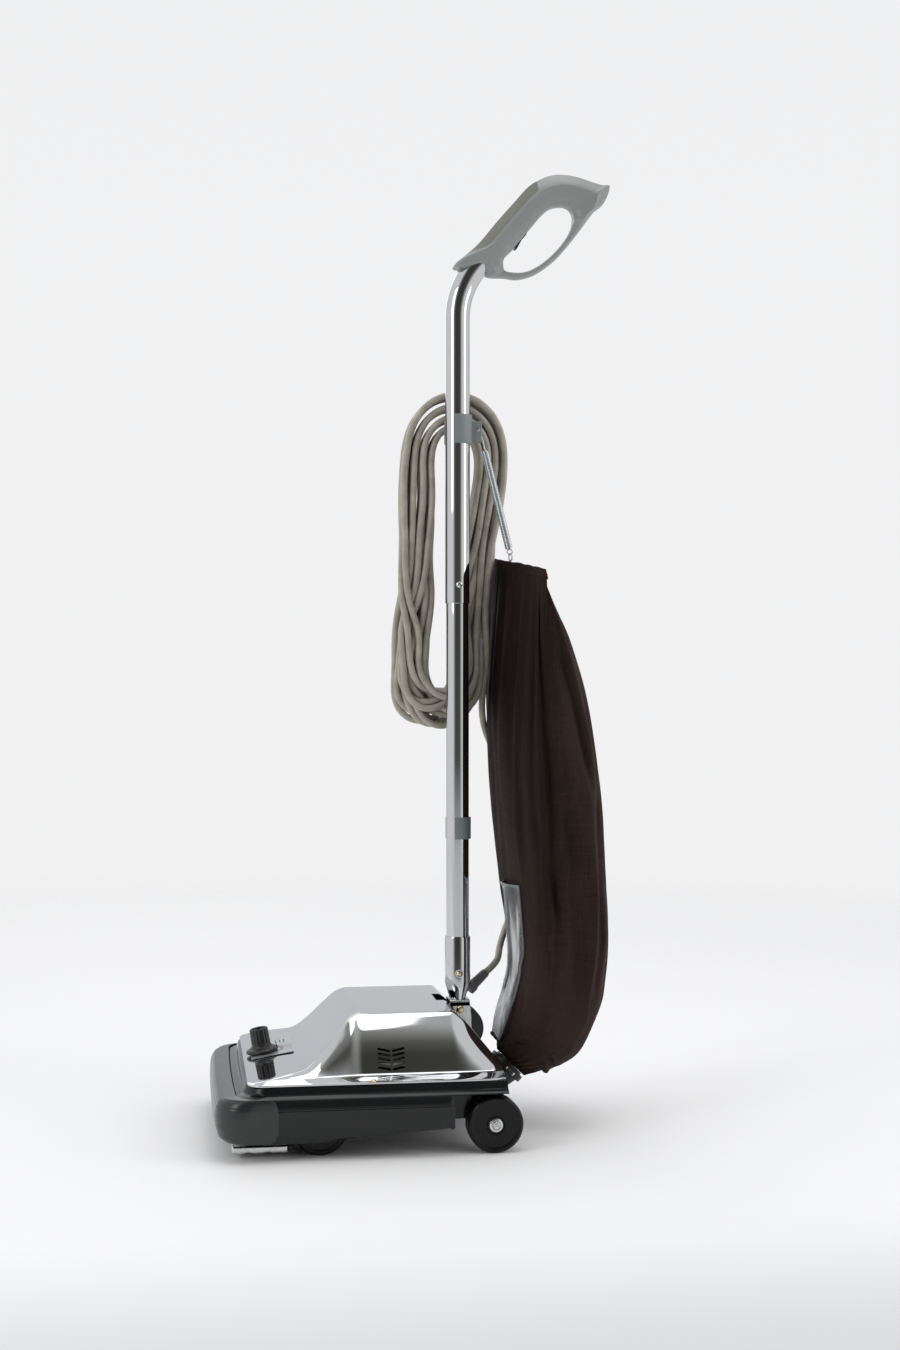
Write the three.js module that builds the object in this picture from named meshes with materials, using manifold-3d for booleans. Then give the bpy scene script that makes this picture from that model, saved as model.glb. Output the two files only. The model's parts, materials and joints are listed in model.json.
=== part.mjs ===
// An upright vacuum cleaner with a cloth bag: a low wheeled base with a plated hood, a bent tube handle that
// reclines on it, a D-shaped grip, and a bag that hangs from the handle on a spring.
// Millimetres. +Z is up, the nozzle points along -Y and the bag is on the +Y side. The group is built with Y = 0
// on the handle tube's axis, and is moved at the end so that the origin is under the middle of the object.
import * as THREE from "three";
import { mergeVertices } from "three/addons/utils/BufferGeometryUtils.js";
import Module from "manifold-3d";

// ---- driving dimensions ----
const FRONT_Y = -306; // the bumper's foremost point
const REAR_Y = 200; // the bag's rearmost point
const GAP = 0.3; // between touching pieces
const BASE_HALF = 170; // half the width of the base
const DECK_Z = 84; // top of the base housing, where the hood's flange sits
const DECK_REAR_Y = 36;
const SEAM_Y = -284; // front of the housing, behind the bumper
const PLATEAU_Z = 156; // top of the hood
const SHEET = 1.6; // hood sheet
const PIVOT = { y: 3, z: 118 }; // the handle's recline axis
const TUBE_R = 14.2; // lower tube
const UPPER_R = 15.4; // upper tube, which sleeves over the lower one
const SOCKET_R = 16;
const JOIN_Z = 646; // bottom end of the upper tube
const BEND_Z = 1002; // where the handle starts to bend
const BEND_R = 100;
const BEND_ANGLE = 0.78; // 45 degrees, towards the user
const GRIP_HALF = 18.5; // half the grip's thickness
const REAR_WHEEL = { y: 21, r: 33, inner: 138, outer: 163 };
const FRONT_WHEEL = { y: -182, r: 32, inner: 121, outer: 145 };
const CARRIAGE_PIVOT = { y: -130, z: 36 };
const BRUSH = { y: -252, z: 27, core: 14.5, bristle: 21.5, half: 132 };
const SHAFT_Z = 84; // motor axis, which lies fore and aft
const MOTOR_R = 42;
const KNOB = { x: -5, y: -242, z: 91.3, tilt: 0.17 };
const CORD_R = 4.25;
const HANK_X = -40; // middle plane of the hank, on the far side of the tube
const CLIP_Z = 863; // middle of the upper clip

// ---- colours ----
const material = (color, roughness, metalness) => new THREE.MeshStandardMaterial({ color, roughness, metalness });
const CHROME = material(0xd6d8da, 0.08, 1);
const ZINC = material(0xbfc0bb, 0.35, 1);
const STEEL = material(0x8f9092, 0.4, 1);
const HOUSING = material(0x3f4245, 0.35, 0);
const BLACK = material(0x1c1b1b, 0.45, 0);
const RUBBER = material(0x191919, 0.8, 0);
const GREY = material(0x85898a, 0.45, 0);
const DARK_GREY = material(0x66696b, 0.7, 0);
const CORD_GREY = material(0x8d877a, 0.6, 0);
const CLOTH = material(0x2c2322, 0.85, 0);
const CLEAR = material(0xdfe3e6, 0.1, 0);
const COPPER = material(0xa8653a, 0.4, 1);
const CARBON = material(0x2a2a2c, 0.7, 0);
const BRASS = material(0xb89a5a, 0.35, 1);
const BRISTLE = material(0x24211f, 0.9, 0);

// ---- solids ----
const wasm = await Module();
wasm.setup();

function toSolid(geometry) {
  const bare = geometry.clone();
  bare.deleteAttribute("normal");
  bare.deleteAttribute("uv");
  const merged = mergeVertices(bare, 1e-4);
  const triVerts = new Uint32Array(merged.index.array);
  const vertProperties = new Float32Array(merged.attributes.position.array);
  const solid = new wasm.Manifold(new wasm.Mesh({ numProp: 3, vertProperties, triVerts }));
  if (solid.volume() > 0) return solid;
  for (let i = 0; i < triVerts.length; i += 3) {
    [triVerts[i + 1], triVerts[i + 2]] = [triVerts[i + 2], triVerts[i + 1]];
  }
  return new wasm.Manifold(new wasm.Mesh({ numProp: 3, vertProperties, triVerts }));
}

function toGeometry(solid) {
  const mesh = solid.getMesh();
  return new THREE.BufferGeometry()
    .setAttribute("position", new THREE.BufferAttribute(mesh.vertProperties, 3))
    .setIndex(new THREE.BufferAttribute(mesh.triVerts, 1));
}

const join = (...pieces) => toGeometry(pieces.map(toSolid).reduce((a, b) => a.add(b)));
const cut = (piece, ...tools) => toGeometry(tools.map(toSolid).reduce((a, b) => a.subtract(b), toSolid(piece)));

// A box between two corners.
function box(x0, y0, z0, x1, y1, z1) {
  return new THREE.BoxGeometry(x1 - x0, y1 - y0, z1 - z0).translate((x0 + x1) / 2, (y0 + y1) / 2, (z0 + z1) / 2);
}

// A solid of revolution from [radius, distance along the axis] pairs, about an axis through the origin.
function turned(profile, axis, sides = 24) {
  const points = profile.map(([r, along]) => new THREE.Vector2(r, along));
  const made = new THREE.LatheGeometry(points, sides);
  if (axis === "z") return made.rotateX(Math.PI / 2);
  return axis === "x" ? made.rotateZ(-Math.PI / 2) : made;
}

// A rod or a tube, with an inner radius, along an axis between two places on it.
function rod(axis, r, from, to, sides = 20, inner = 0) {
  if (!inner) return turned([[0, from], [r, from], [r, to], [0, to]], axis, sides);
  return turned([[inner, from], [r, from], [r, to], [inner, to], [inner, from]], axis, sides);
}

// A closed solid through rings of points. A ring is an outline of [u, v] pairs and a function that places them.
function loft(rings) {
  const count = rings[0].outline.length;
  const points = rings.flatMap(({ outline, at }) => outline.map(([u, v]) => at(u, v)));
  const index = [];
  for (let r = 0; r + 1 < rings.length; r += 1) {
    for (let i = 0; i < count; i += 1) {
      const a = r * count + i;
      const b = r * count + ((i + 1) % count);
      index.push(a, b, b + count, a, b + count, a + count);
    }
  }
  const area = ([ax, ay], [bx, by], [cx, cy]) => (bx - ax) * (cy - ay) - (cx - ax) * (by - ay);
  const cap = ({ outline }, start, wanted) => {
    const contour = outline.map(([u, v]) => new THREE.Vector2(u, v));
    for (const [i, j, k] of THREE.ShapeUtils.triangulateShape(contour, [])) {
      const turnedRight = area(outline[i], outline[j], outline[k]) * wanted > 0;
      index.push(start + i, start + (turnedRight ? j : k), start + (turnedRight ? k : j));
    }
  };
  const contour = rings[0].outline.map(([u, v]) => new THREE.Vector2(u, v));
  const sense = Math.sign(THREE.ShapeUtils.area(contour));
  cap(rings[0], 0, -sense);
  cap(rings[rings.length - 1], (rings.length - 1) * count, sense);
  return new THREE.BufferGeometry().setFromPoints(points).setIndex(index);
}

const circle = (r, sides, squash = 1) =>
  Array.from({ length: sides }, (_, i) => {
    const a = (2 * Math.PI * (i + 0.5)) / sides;
    return [r * Math.cos(a), r * squash * Math.sin(a)];
  });

const flat = (outline, z) => ({ outline, at: (u, v) => new THREE.Vector3(u, v, z) });

// An outline of [y, z] pairs as a plate between two places on X.
function plateX(outline, x0, x1) {
  return loft([x0, x1].map((x) => ({ outline, at: (u, v) => new THREE.Vector3(x, u, v) })));
}

// An outline carried along a smooth curve.
function sweep(outline, curve, steps) {
  const { normals, binormals } = curve.computeFrenetFrames(steps, false);
  const ringAt = (i) => {
    const p = curve.getPointAt(i / steps);
    const at = (u, v) => p.clone().addScaledVector(normals[i], u).addScaledVector(binormals[i], v);
    return { outline, at };
  };
  return loft(Array.from({ length: steps + 1 }, (_, i) => ringAt(i)));
}

const smooth = (points) => new THREE.CatmullRomCurve3(points.map((p) => new THREE.Vector3(...p)), false, "centripetal");

// ---- the group ----
const vacuum = new THREE.Group();
vacuum.position.y = -(FRONT_Y + REAR_Y) / 2;

function add(name, geometry, look, parent = vacuum) {
  const mesh = new THREE.Mesh(toGeometry(toSolid(geometry)), look);
  mesh.name = name;
  parent.add(mesh);
}

// The same piece on both sides: `make` gets +1 for the user's left (+X) and -1 for the right.
function onBothSides(name, look, make) {
  add(`${name}_left`, make(1), look);
  add(`${name}_right`, make(-1), look);
}

// ---- base housing and bumper ----
// The base seen from above: straight sides, rounded front corners, a slightly bowed front.
function planOutline(half, frontY, corner, bow, rearY) {
  const side = [];
  for (let i = 0; i <= 5; i += 1) {
    const a = (i / 5) * (Math.PI / 2);
    side.push([half - corner + corner * Math.cos(a), frontY + corner - corner * Math.sin(a)]);
  }
  side.push([half * 0.45, frontY - bow * 0.8]);
  const other = side.map(([x, y]) => [-x, y]).reverse();
  return [[half, rearY], ...side, [0, frontY - bow], ...other, [-half, rearY]];
}

function baseHousing() {
  const level = (z, half, frontY) => flat(planOutline(half, frontY, 30, 2, DECK_REAR_Y), z);
  const outside = loft([
    level(19, BASE_HALF - 8, SEAM_Y + 8),
    level(30, BASE_HALF, SEAM_Y),
    level(64, BASE_HALF, SEAM_Y),
    level(71, BASE_HALF - 4, SEAM_Y + 2),
    level(75, BASE_HALF - 9, SEAM_Y + 8),
    level(DECK_Z, BASE_HALF - 12, SEAM_Y + 16),
  ]);
  const room = (z, half, frontY) => flat(planOutline(half, frontY, 24, 0, DECK_REAR_Y - 4), z);
  const inside = loft([
    room(-5, BASE_HALF - 12, SEAM_Y + 8),
    room(64, BASE_HALF - 5, SEAM_Y + 5),
    room(DECK_Z - 4, BASE_HALF - 16, SEAM_Y + 20),
  ]);
  const wide = BASE_HALF + 10;
  const rising = [[-176, 0], [-176, 20], [-166, 25], [50, 38], [50, 0]];
  const wheelSide = (s) => box(Math.min(s * 129, s * wide), -28, 0, Math.max(s * 129, s * wide), 60, 70);
  const shell = cut(outside, inside, plateX(rising, -wide, wide), wheelSide(1), wheelSide(-1));
  const cheek = (s) => box(Math.min(s * 125, s * 129), -30, 34, Math.max(s * 125, s * 129), DECK_REAR_Y, 82);
  const closing = (s) => box(Math.min(s * 127, s * 166), -31, 34, Math.max(s * 127, s * 166), -28, 72);
  const noseWall = box(-162, -222, 24, 162, -219, 82);
  const walls = join(shell, cheek(1), cheek(-1), closing(1), closing(-1), noseWall);
  return cut(
    walls,
    box(-62, -212.5, 70, 62, -6, 100),
    box(-12, -218, 74, 12, -205, 100),
    box(-36, -225, 40, 15, -215, 79),
    rod("y", 19.4, -230, -210, 16).translate(38, 0, 57),
    box(-100, -6.5, 70, -20, 20, 100),
    rod("z", 6, 60, 100, 16).translate(KNOB.x, KNOB.y, 0),
    rod("x", 4.4, -wide, wide, 16).translate(0, REAR_WHEEL.y, REAR_WHEEL.r),
    rod("y", 22, 20, 60, 20).translate(0, 0, 60),
  );
}
add("base_housing", baseHousing(), HOUSING);

// A D-section carried round the front of the base.
function frontBumper() {
  const section = [[0, -24], [9, -24], [15, -17], [17.4, -6], [18.3, 6], [16.6, 17], [11.5, 24], [0, 26]];
  const inner = planOutline(BASE_HALF - 1, SEAM_Y - GAP, 30, 2, -232);
  const along = inner.map(([x, y], i) => {
    const [bx, by] = inner[Math.max(i - 1, 0)];
    const [nx, ny] = inner[Math.min(i + 1, inner.length - 1)];
    const out = new THREE.Vector3(by - ny, nx - bx, 0).normalize();
    return { x, y, out };
  });
  const rings = along.map(({ x, y, out }) => ({
    outline: section,
    at: (u, v) => new THREE.Vector3(x, y, 46 + v).addScaledVector(out, 1.3 + u * (0.12 - 0.88 * out.y)),
  }));
  return loft(rings);
}
add("front_bumper", frontBumper(), HOUSING);

// ---- hood: a plated sheet, with a low deck in front, a plateau over the motor and a sloping back ----
// y, top height, half-width at the top, half-width at the foot, half-width of the flange
const HOOD_STATIONS = [
  [-266, 87, 136, 140, 144],
  [-261, 88, 146, 149, 153],
  [-250, 89.9, 149, 152.5, 158],
  [-222, 94.7, 142, 151, 158],
  [-200, 98.6, 134, 149, 158],
  [-191, 104, 129, 148, 158],
  [-180, 114, 123, 146, 158],
  [-158, 138, 108, 143, 158],
  [-143, 152, 99, 141, 158],
  [-131, PLATEAU_Z, 95, 140, 158],
  [-22, PLATEAU_Z, 95, 140, 158],
  [-12, 150, 98, 140, 158],
  [16, 118, 107, 140, 157],
  [34, 96, 116, 138, 152],
];

function hoodSolid(inset) {
  const last = HOOD_STATIONS.length - 1;
  return loft(
    HOOD_STATIONS.map(([y, top, wTop, wFoot, wFlange], i) => {
      const t = top - inset;
      const foot = Math.min(t - 0.6, 91 - inset);
      const half = [
        [wFlange - inset, DECK_Z + GAP - (inset ? 4 : 0)],
        [wFlange - inset, DECK_Z + 1.9 - inset],
        [wFoot - inset, foot],
        [wTop - inset, t - 0.4],
        [wTop - inset - 6, t],
      ];
      const outline = [...half, ...half.map(([u, v]) => [-u, v]).reverse()];
      const place = i === 0 ? y + inset : i === last ? y - inset : y;
      return { outline, at: (u, v) => new THREE.Vector3(u, place, v) };
    }),
  );
}

// One slanted louvre slot, cut through a side of the hood.
function louvre(side, y, z, slant) {
  const slot = new THREE.BoxGeometry(40, 15, 2.6).rotateX(slant);
  return slot.translate(side * 124, y, z);
}

function hood() {
  const slots = [];
  for (const side of [1, -1]) {
    for (let row = 0; row < 5; row += 1) {
      const z = 97.5 + row * 4.9;
      slots.push(louvre(side, -106.5, z, -0.2), louvre(side, -89.5, z, 0.2));
    }
  }
  const knobHole = rod("z", 5.5, 70, 110, 16).translate(KNOB.x, KNOB.y, 0);
  const handleSlot = box(-23, -30, 99, 23, 60, 200);
  return cut(hoodSolid(0), hoodSolid(SHEET), knobHole, handleSlot, ...slots);
}
add("hood", hood(), CHROME);

onBothSides("hood_screw", BRASS, (s) => {
  const head = turned([[0, 0], [3.2, 0], [2.6, 1.4], [0, 1.8]], "z", 12);
  return head.rotateY(s * 0.245).translate(s * 154.4, -121, DECK_Z + 3.2);
});

// ---- nozzle: plate, felt lip, brush roll and its end caps ----
function bottomPlate() {
  const tray = box(-148, -284, 6, 148, -220, 15);
  const scoop = box(-146.4, -282.4, 7.6, 146.4, -221.6, 20);
  const mouth = box(-136, -281, 0, 136, -223, 20);
  return cut(tray, scoop, mouth);
}
add("bottom_plate", bottomPlate(), ZINC);
add("rear_lip", box(-148, -219.7, 6.5, 148, -213.5, 15), RUBBER);

const brushGroup = new THREE.Group();
brushGroup.position.set(0, BRUSH.y, BRUSH.z);
vacuum.add(brushGroup);
const BELT_SEAT = 9;
function brushCore() {
  const r = BRUSH.core;
  const half = [[r + 1.6, BELT_SEAT], [r + 1.6, BELT_SEAT + 2], [r, BELT_SEAT + 3], [r, BRUSH.half - 3]];
  const end = [[6, BRUSH.half - 3], [4, BRUSH.half], [4, BRUSH.half + 6], [0, BRUSH.half + 6]];
  const right = [[r, BELT_SEAT], ...half, ...end];
  const left = right.map(([radius, along]) => [radius, -along]).reverse();
  return turned([...left, ...right], "x", 20);
}

// A helical row of bristles, standing on the core on one side of the belt seat.
function bristleRow(side, start) {
  const steps = 8;
  const rings = Array.from({ length: steps + 1 }, (_, i) => {
    const x = side * (BELT_SEAT + 6 + (i / steps) * (BRUSH.half - BELT_SEAT - 14));
    const a = start + (i / steps) * 1.3;
    const out = new THREE.Vector3(0, Math.cos(a), Math.sin(a));
    const across = new THREE.Vector3(0, -Math.sin(a), Math.cos(a));
    const at = (u, v) => new THREE.Vector3(x, 0, 0).addScaledVector(across, u).addScaledVector(out, v);
    const low = BRUSH.core - 1;
    return { outline: [[-3, low], [3, low], [3.4, BRUSH.bristle], [-3.4, BRUSH.bristle]], at };
  });
  return loft(rings);
}
const bristles = [1, -1].flatMap((side) => [bristleRow(side, 0.3), bristleRow(side, 0.3 + Math.PI)]);
add("brush_roll", join(brushCore(), ...bristles), BLACK, brushGroup);
onBothSides("brush_end_cap", BLACK, (s) => {
  const cap = rod("x", 19, BRUSH.half + 1, BRUSH.half + 10, 20);
  const bore = rod("x", 4.5, 0, BRUSH.half + 7, 20);
  return cut(cap, bore).scale(s, 1, 1).translate(0, BRUSH.y, BRUSH.z);
});

// ---- motor, fan and drive belt ----
const onShaft = (geometry) => geometry.translate(0, 0, SHAFT_Z);
const PULLEY = { y: -205, r: 6 };
function motorShaft() {
  const r = 5;
  const pulley = [[0, -212.5], [PULLEY.r, -212.5], [PULLEY.r, -197.5], [8.2, -197], [8.2, -196]];
  return onShaft(turned([...pulley, [r, -196], [r, -34], [0, -34]], "y", 16));
}
add("motor_shaft", motorShaft(), STEEL);
const core = [[5.3, -110], [22.5, -110], [22.5, -66], [13, -66], [13, -52], [5.3, -52], [5.3, -110]];
add("motor_armature", onShaft(turned(core, "y")), COPPER);
add("motor_field", onShaft(rod("y", 38.8, -106, -70, 24, 24)), STEEL);
const motorCup = [[6, -44], [6, -41], [MOTOR_R, -41], [MOTOR_R, -121], [39.4, -121], [39.4, -44], [6, -44]];
add("motor_case", onShaft(turned(motorCup, "y", 28)), STEEL);
const bell = [[6, -125], [MOTOR_R, -125], [MOTOR_R, -121.4], [39, -121.4], [39, -119], [6, -119], [6, -125]];
add("motor_bell", onShaft(turned(bell, "y", 28)), STEEL);
onBothSides("carbon_brush", CARBON, (s) => {
  return onShaft(box(Math.min(s * 13.6, s * 30), -63, -4, Math.max(s * 13.6, s * 30), -55, 4));
});

function fan() {
  const hub = rod("y", 10, -150, -134, 20, 5.3);
  const disc = rod("y", 37, -136, -134, 24, 5.3);
  const blades = Array.from({ length: 8 }, (_, i) => {
    const blade = new THREE.BoxGeometry(28, 13, 1.6).rotateY(0.5).translate(22, -141.6, 4);
    return blade.rotateY((i * Math.PI) / 4);
  });
  return onShaft(join(hub, disc, ...blades));
}
add("fan", fan(), GREY);

// The fan's housing is a drum with an eye in front and a port on the right, where the exhaust duct starts.
function fanHousing() {
  const drum = rod("y", 44, -154, -127, 28);
  const room = rod("y", 41, -151.5, -129, 28);
  const eye = rod("y", 19, -160, -150, 20);
  const shaftHole = join(rod("y", 5.6, -200, -120, 16), rod("y", 9.8, -216, -194, 16));
  const port = rod("x", 10.5, -60, -30, 16).translate(0, -140, -22);
  return onShaft(cut(join(drum, intakeDuct(false)), room, eye, shaftHole, port, intakeDuct(true)));
}

// The duct from the nozzle to the fan's eye, from the shaft's own height: its outside, or its bore.
function intakeDuct(bore) {
  const stations = [[23, 0, bore ? -150 : -153, 0], [21, 12, -175, -8], [19, 31, -200, -22], [19, 38, bore ? -225 : -218.6, -27]];
  const ring = ([r, x, y, z]) => ({
    outline: circle(bore ? r - 2 : r, 16),
    at: (u, v) => new THREE.Vector3(x + u, y, z + v),
  });
  return loft(stations.map(ring));
}
add("fan_housing", fanHousing(), BLACK);

const OUTLET_Z = 60;
function exhaustDuct() {
  const points = [[-46, -140, 62], [-62, -136, 62], [-78, -112, 62], [-80, -60, 61], [-66, -14, OUTLET_Z]];
  const course = [...points, [-30, 14, OUTLET_Z], [0, 24, OUTLET_Z], [0, 31, OUTLET_Z]];
  const start = [[-36, -141, 62], ...course];
  const reach = [...course.slice(0, -1), [0, 40, OUTLET_Z]];
  const outside = cut(sweep(circle(13, 10), smooth(start), 12), onShaft(rod("y", 44.4, -170, -100, 28)));
  const inside = sweep(circle(10.5, 10), smooth([[-30, -142, 62], ...reach]), 12);
  return cut(outside, inside);
}
add("exhaust_duct", exhaustDuct(), BLACK);

// A flat belt: over the pulley on the shaft, a quarter twist down each side, and under the brush roll.
function driveBelt() {
  const roll = BRUSH.core + 1.5;
  const pulley = PULLEY.r + 1.5;
  const stations = [];
  const arc = (from, to, count, make) => {
    for (let i = 0; i <= count; i += 1) stations.push(make(from + ((to - from) * i) / count));
  };
  const overPulley = (a) => ({
    p: new THREE.Vector3(pulley * Math.cos(a), PULLEY.y, SHAFT_Z + pulley * Math.sin(a)),
    out: new THREE.Vector3(Math.cos(a), 0, Math.sin(a)),
    wide: new THREE.Vector3(0, 1, 0),
  });
  const underRoll = (a) => ({
    p: new THREE.Vector3(0, BRUSH.y + roll * Math.cos(a), BRUSH.z + roll * Math.sin(a)),
    out: new THREE.Vector3(0, Math.cos(a), Math.sin(a)),
    wide: new THREE.Vector3(-1, 0, 0),
  });
  const strand = (from, to) => {
    for (const t of [0.25, 0.5, 0.75]) {
      const mix = (a, b) => a.clone().lerp(b, t);
      const wide = mix(from.wide, to.wide).normalize();
      const p = mix(from.p, to.p);
      const out = mix(from.out, to.out);
      stations.push({ p, wide, out: out.addScaledVector(wide, -out.dot(wide)).normalize() });
    }
  };
  arc(0, Math.PI, 6, overPulley);
  // The strands leave the roll along the line from its axis to the pulley's.
  const lean = Math.atan2(SHAFT_Z - BRUSH.z, PULLEY.y - BRUSH.y);
  const leave = lean + Math.PI / 2;
  strand(overPulley(Math.PI), underRoll(leave));
  arc(leave, leave + Math.PI, 9, underRoll);
  strand(underRoll(leave + Math.PI), overPulley(0));
  const corners = [[-4, -0.9], [4, -0.9], [4, 0.9], [-4, 0.9]];
  const points = stations.flatMap(({ p, out, wide }) =>
    corners.map(([w, t]) => p.clone().addScaledVector(wide, w).addScaledVector(out, t)),
  );
  const index = [];
  const total = points.length;
  stations.forEach((_, s) => {
    for (let i = 0; i < 4; i += 1) {
      const a = s * 4 + i;
      const b = s * 4 + ((i + 1) % 4);
      index.push(a, b, (b + 4) % total, a, (b + 4) % total, (a + 4) % total);
    }
  });
  return new THREE.BufferGeometry().setFromPoints(points).setIndex(index);
}
add("drive_belt", driveBelt(), RUBBER);

// ---- front wheels on the height carriage ----
function wheel(r, inner, outer, bore, sides) {
  const mid = (inner + outer) / 2;
  const profile = [[bore, inner], [r - 7, inner], [r - 5, inner + 2], [r - 2, inner], [r, inner + 2], [r, mid]];
  const face = [[r, outer - 2], [r - 2, outer], [r - 5, outer - 2], [r - 7, outer - 1], [bore, outer - 1]];
  return turned([...profile, ...face, [bore, inner]], "x", sides);
}
const frontAt = (geometry) => geometry.translate(0, FRONT_WHEEL.y, FRONT_WHEEL.r);
add("front_axle", frontAt(rod("x", 4, -149, 149, 16)), STEEL);
onBothSides("front_wheel", BLACK, (s) => {
  return frontAt(wheel(FRONT_WHEEL.r, FRONT_WHEEL.inner, FRONT_WHEEL.outer, 4.4, 20).scale(s, 1, 1));
});

function wheelCarriage() {
  const { y, z } = CARRIAGE_PIVOT;
  const ends = [[y + 9, z - 5], [y + 9, z + 6], [FRONT_WHEEL.y + 6, 41], [FRONT_WHEEL.y - 9, 41], [FRONT_WHEEL.y - 9, 25]];
  const arm = (s) => plateX([...ends, [FRONT_WHEEL.y + 8, 23]], s * 113 - 1.5, s * 113 + 1.5);
  const cross = box(-113, -176, 40, 113, -157, 42);
  const link = box(-33, -240, 60, -27, -164, 63);
  const tongue = box(-33, -247, 60, -9.5, -233, 63);
  const riser = box(-33, -170, 40, -27, -164, 63);
  const bored = (yy, zz) => rod("x", 4.3, -130, 130, 16).translate(0, yy, zz);
  return cut(join(arm(1), arm(-1), cross, link, tongue, riser), bored(y, z), bored(FRONT_WHEEL.y, FRONT_WHEEL.r));
}
add("wheel_carriage", wheelCarriage(), STEEL);
add("carriage_pin", rod("x", 4, -128, 128, 16).translate(0, CARRIAGE_PIVOT.y, CARRIAGE_PIVOT.z), STEEL);

// ---- rear wheels ----
const rearAt = (geometry) => geometry.translate(0, REAR_WHEEL.y, REAR_WHEEL.r);
add("rear_axle", rearAt(rod("x", 4, -162.5, 162.5, 16)), STEEL);
onBothSides("rear_wheel", BLACK, (s) => {
  return rearAt(wheel(REAR_WHEEL.r, REAR_WHEEL.inner, REAR_WHEEL.outer, 4.4, 22).scale(s, 1, 1));
});
onBothSides("wheel_screw", ZINC, (s) => {
  const head = [[0, 0], [8, 0], [8, 1.2], [4.6, 1.4], [4.2, 4], [0, 4.4]];
  return rearAt(turned(head, "x", 16).translate(REAR_WHEEL.outer + GAP, 0, 0).scale(s, 1, 1));
});

// ---- height knob, its cam and its plate, square to the sloping deck ----
const knobGroup = new THREE.Group();
knobGroup.position.set(KNOB.x, KNOB.y, KNOB.z);
knobGroup.rotation.x = KNOB.tilt;
vacuum.add(knobGroup);

function heightKnob() {
  const profile = [[4.3, 2.2], [20, 2.2], [20, 5], [13, 12], [11, 12.5], [11, 30], [10, 31], [8, 31], [8, 27], [0, 27]];
  const body = turned([[0, 8], [4.3, 8], ...profile], "z", 20);
  const ribs = Array.from({ length: 10 }, (_, i) =>
    box(10, -1.3, 11, 12.2, 1.3, 29).rotateZ((i * Math.PI) / 5),
  );
  return join(body, ...ribs);
}
add("height_knob", heightKnob(), BLACK, knobGroup);

// The lobe starts on the left of the shaft and swings round in front of it until it presses the carriage's tongue.
function heightCam() {
  const shaft = rod("z", 4, -17.5, 7.6, 12);
  const disc = rod("z", 10, -17.5, -14.5, 20);
  const lobe = box(7.3, -2, -33, 9.6, 2, -15);
  return join(shaft, disc, lobe);
}
add("height_cam", heightCam(), STEEL, knobGroup);

const labelPlate = cut(box(-60, -15, 0.5, 30, 37, 1.3), rod("z", 6, -5, 5, 16));
add("height_plate", labelPlate, ZINC, knobGroup);

// ---- handle pivot ----
function pivotBlock() {
  const drum = rod("x", 28, -13.5, 13.5, 28).translate(0, PIVOT.y, PIVOT.z);
  const nose = plateX([[-24, 95], [-24, 146], [-14, 149], [4, 146], [4, 95]], -13.5, 13.5);
  const foot = plateX([[-24, DECK_Z + GAP], [-24, 110], [26, 110], [26, DECK_Z + GAP]], -13.5, 13.5);
  const pin = rod("x", 5.3, -20, 20, 16).translate(0, PIVOT.y, PIVOT.z);
  return cut(join(drum, nose, foot), pin);
}
add("pivot_block", pivotBlock(), BLACK);
add("pivot_pin", rod("x", 5, -19.6, 19.6, 16).translate(0, PIVOT.y, PIVOT.z), STEEL);

// Two folded cheeks that straddle the block, joined by a saddle under the socket.
function handleFork() {
  const cheek = (s) => {
    const outline = [[-6, PIVOT.z - 9], [12, PIVOT.z - 9], [15, PIVOT.z], [13, 152.5], [-12, 152.5], [-9, PIVOT.z]];
    return plateX(outline, s * 15.4 - 1.3, s * 15.4 + 1.3);
  };
  const saddle = box(-16.7, -12, 151, 16.7, 13, 154);
  const bore = rod("x", 5.3, -20, 20, 16).translate(0, PIVOT.y, PIVOT.z);
  return cut(join(cheek(1), cheek(-1), saddle), bore);
}
add("handle_fork", handleFork(), ZINC);

// ---- handle tubes ----
function handleSocket() {
  const profile = [[TUBE_R + GAP, 232], [SOCKET_R, 232], [SOCKET_R, 190], [SOCKET_R, 170], [13, 154.3]];
  const wall = [[9, 154.3], [TUBE_R + GAP, 176], [TUBE_R + GAP, 232]];
  const screwHole = rod("x", 2.4, 5, 25, 10).translate(0, 0, 187);
  return cut(turned([...profile, ...wall], "z", 24), screwHole);
}
add("handle_socket", handleSocket(), CHROME);

const tubeScrew = (z, r, wall) =>
  turned([[0, -3], [2, -3], [2, GAP], [3.8, GAP], [3.2, 1.8], [0, 2.3]], "x", 12).translate(r + wall, 0, z);
add("socket_screw", tubeScrew(187, SOCKET_R, 0), BRASS);
const hole = (z) => rod("x", 2.4, 5, 25, 10).translate(0, 0, z);
add("lower_tube", cut(rod("z", TUBE_R, 178, 705, 24, TUBE_R - 1.2), hole(187), hole(669)), CHROME);

// The upper tube's centre line, straight and then bent towards the user.
function handleLine(extra) {
  const stations = [{ y: 0, z: JOIN_Z, a: 0 }, { y: 0, z: BEND_Z, a: 0 }];
  for (let i = 1; i <= 6; i += 1) {
    const a = (i / 6) * BEND_ANGLE;
    stations.push({ y: BEND_R * (1 - Math.cos(a)), z: BEND_Z + BEND_R * Math.sin(a), a });
  }
  const end = stations[stations.length - 1];
  const a = BEND_ANGLE;
  stations.push({ y: end.y + extra * Math.sin(a), z: end.z + extra * Math.cos(a), a });
  return stations;
}
function bentTube(r, from, extra, sides) {
  const stations = handleLine(extra);
  stations[0].z = from;
  return loft(
    stations.map(({ y, z, a }) => ({
      outline: circle(r, sides),
      at: (u, v) => new THREE.Vector3(u, y + v * Math.cos(a), z - v * Math.sin(a)),
    })),
  );
}
const upperTube = cut(bentTube(UPPER_R, JOIN_Z, 2, 18), bentTube(TUBE_R + GAP, JOIN_Z - 5, 4, 18), hole(669));
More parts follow.
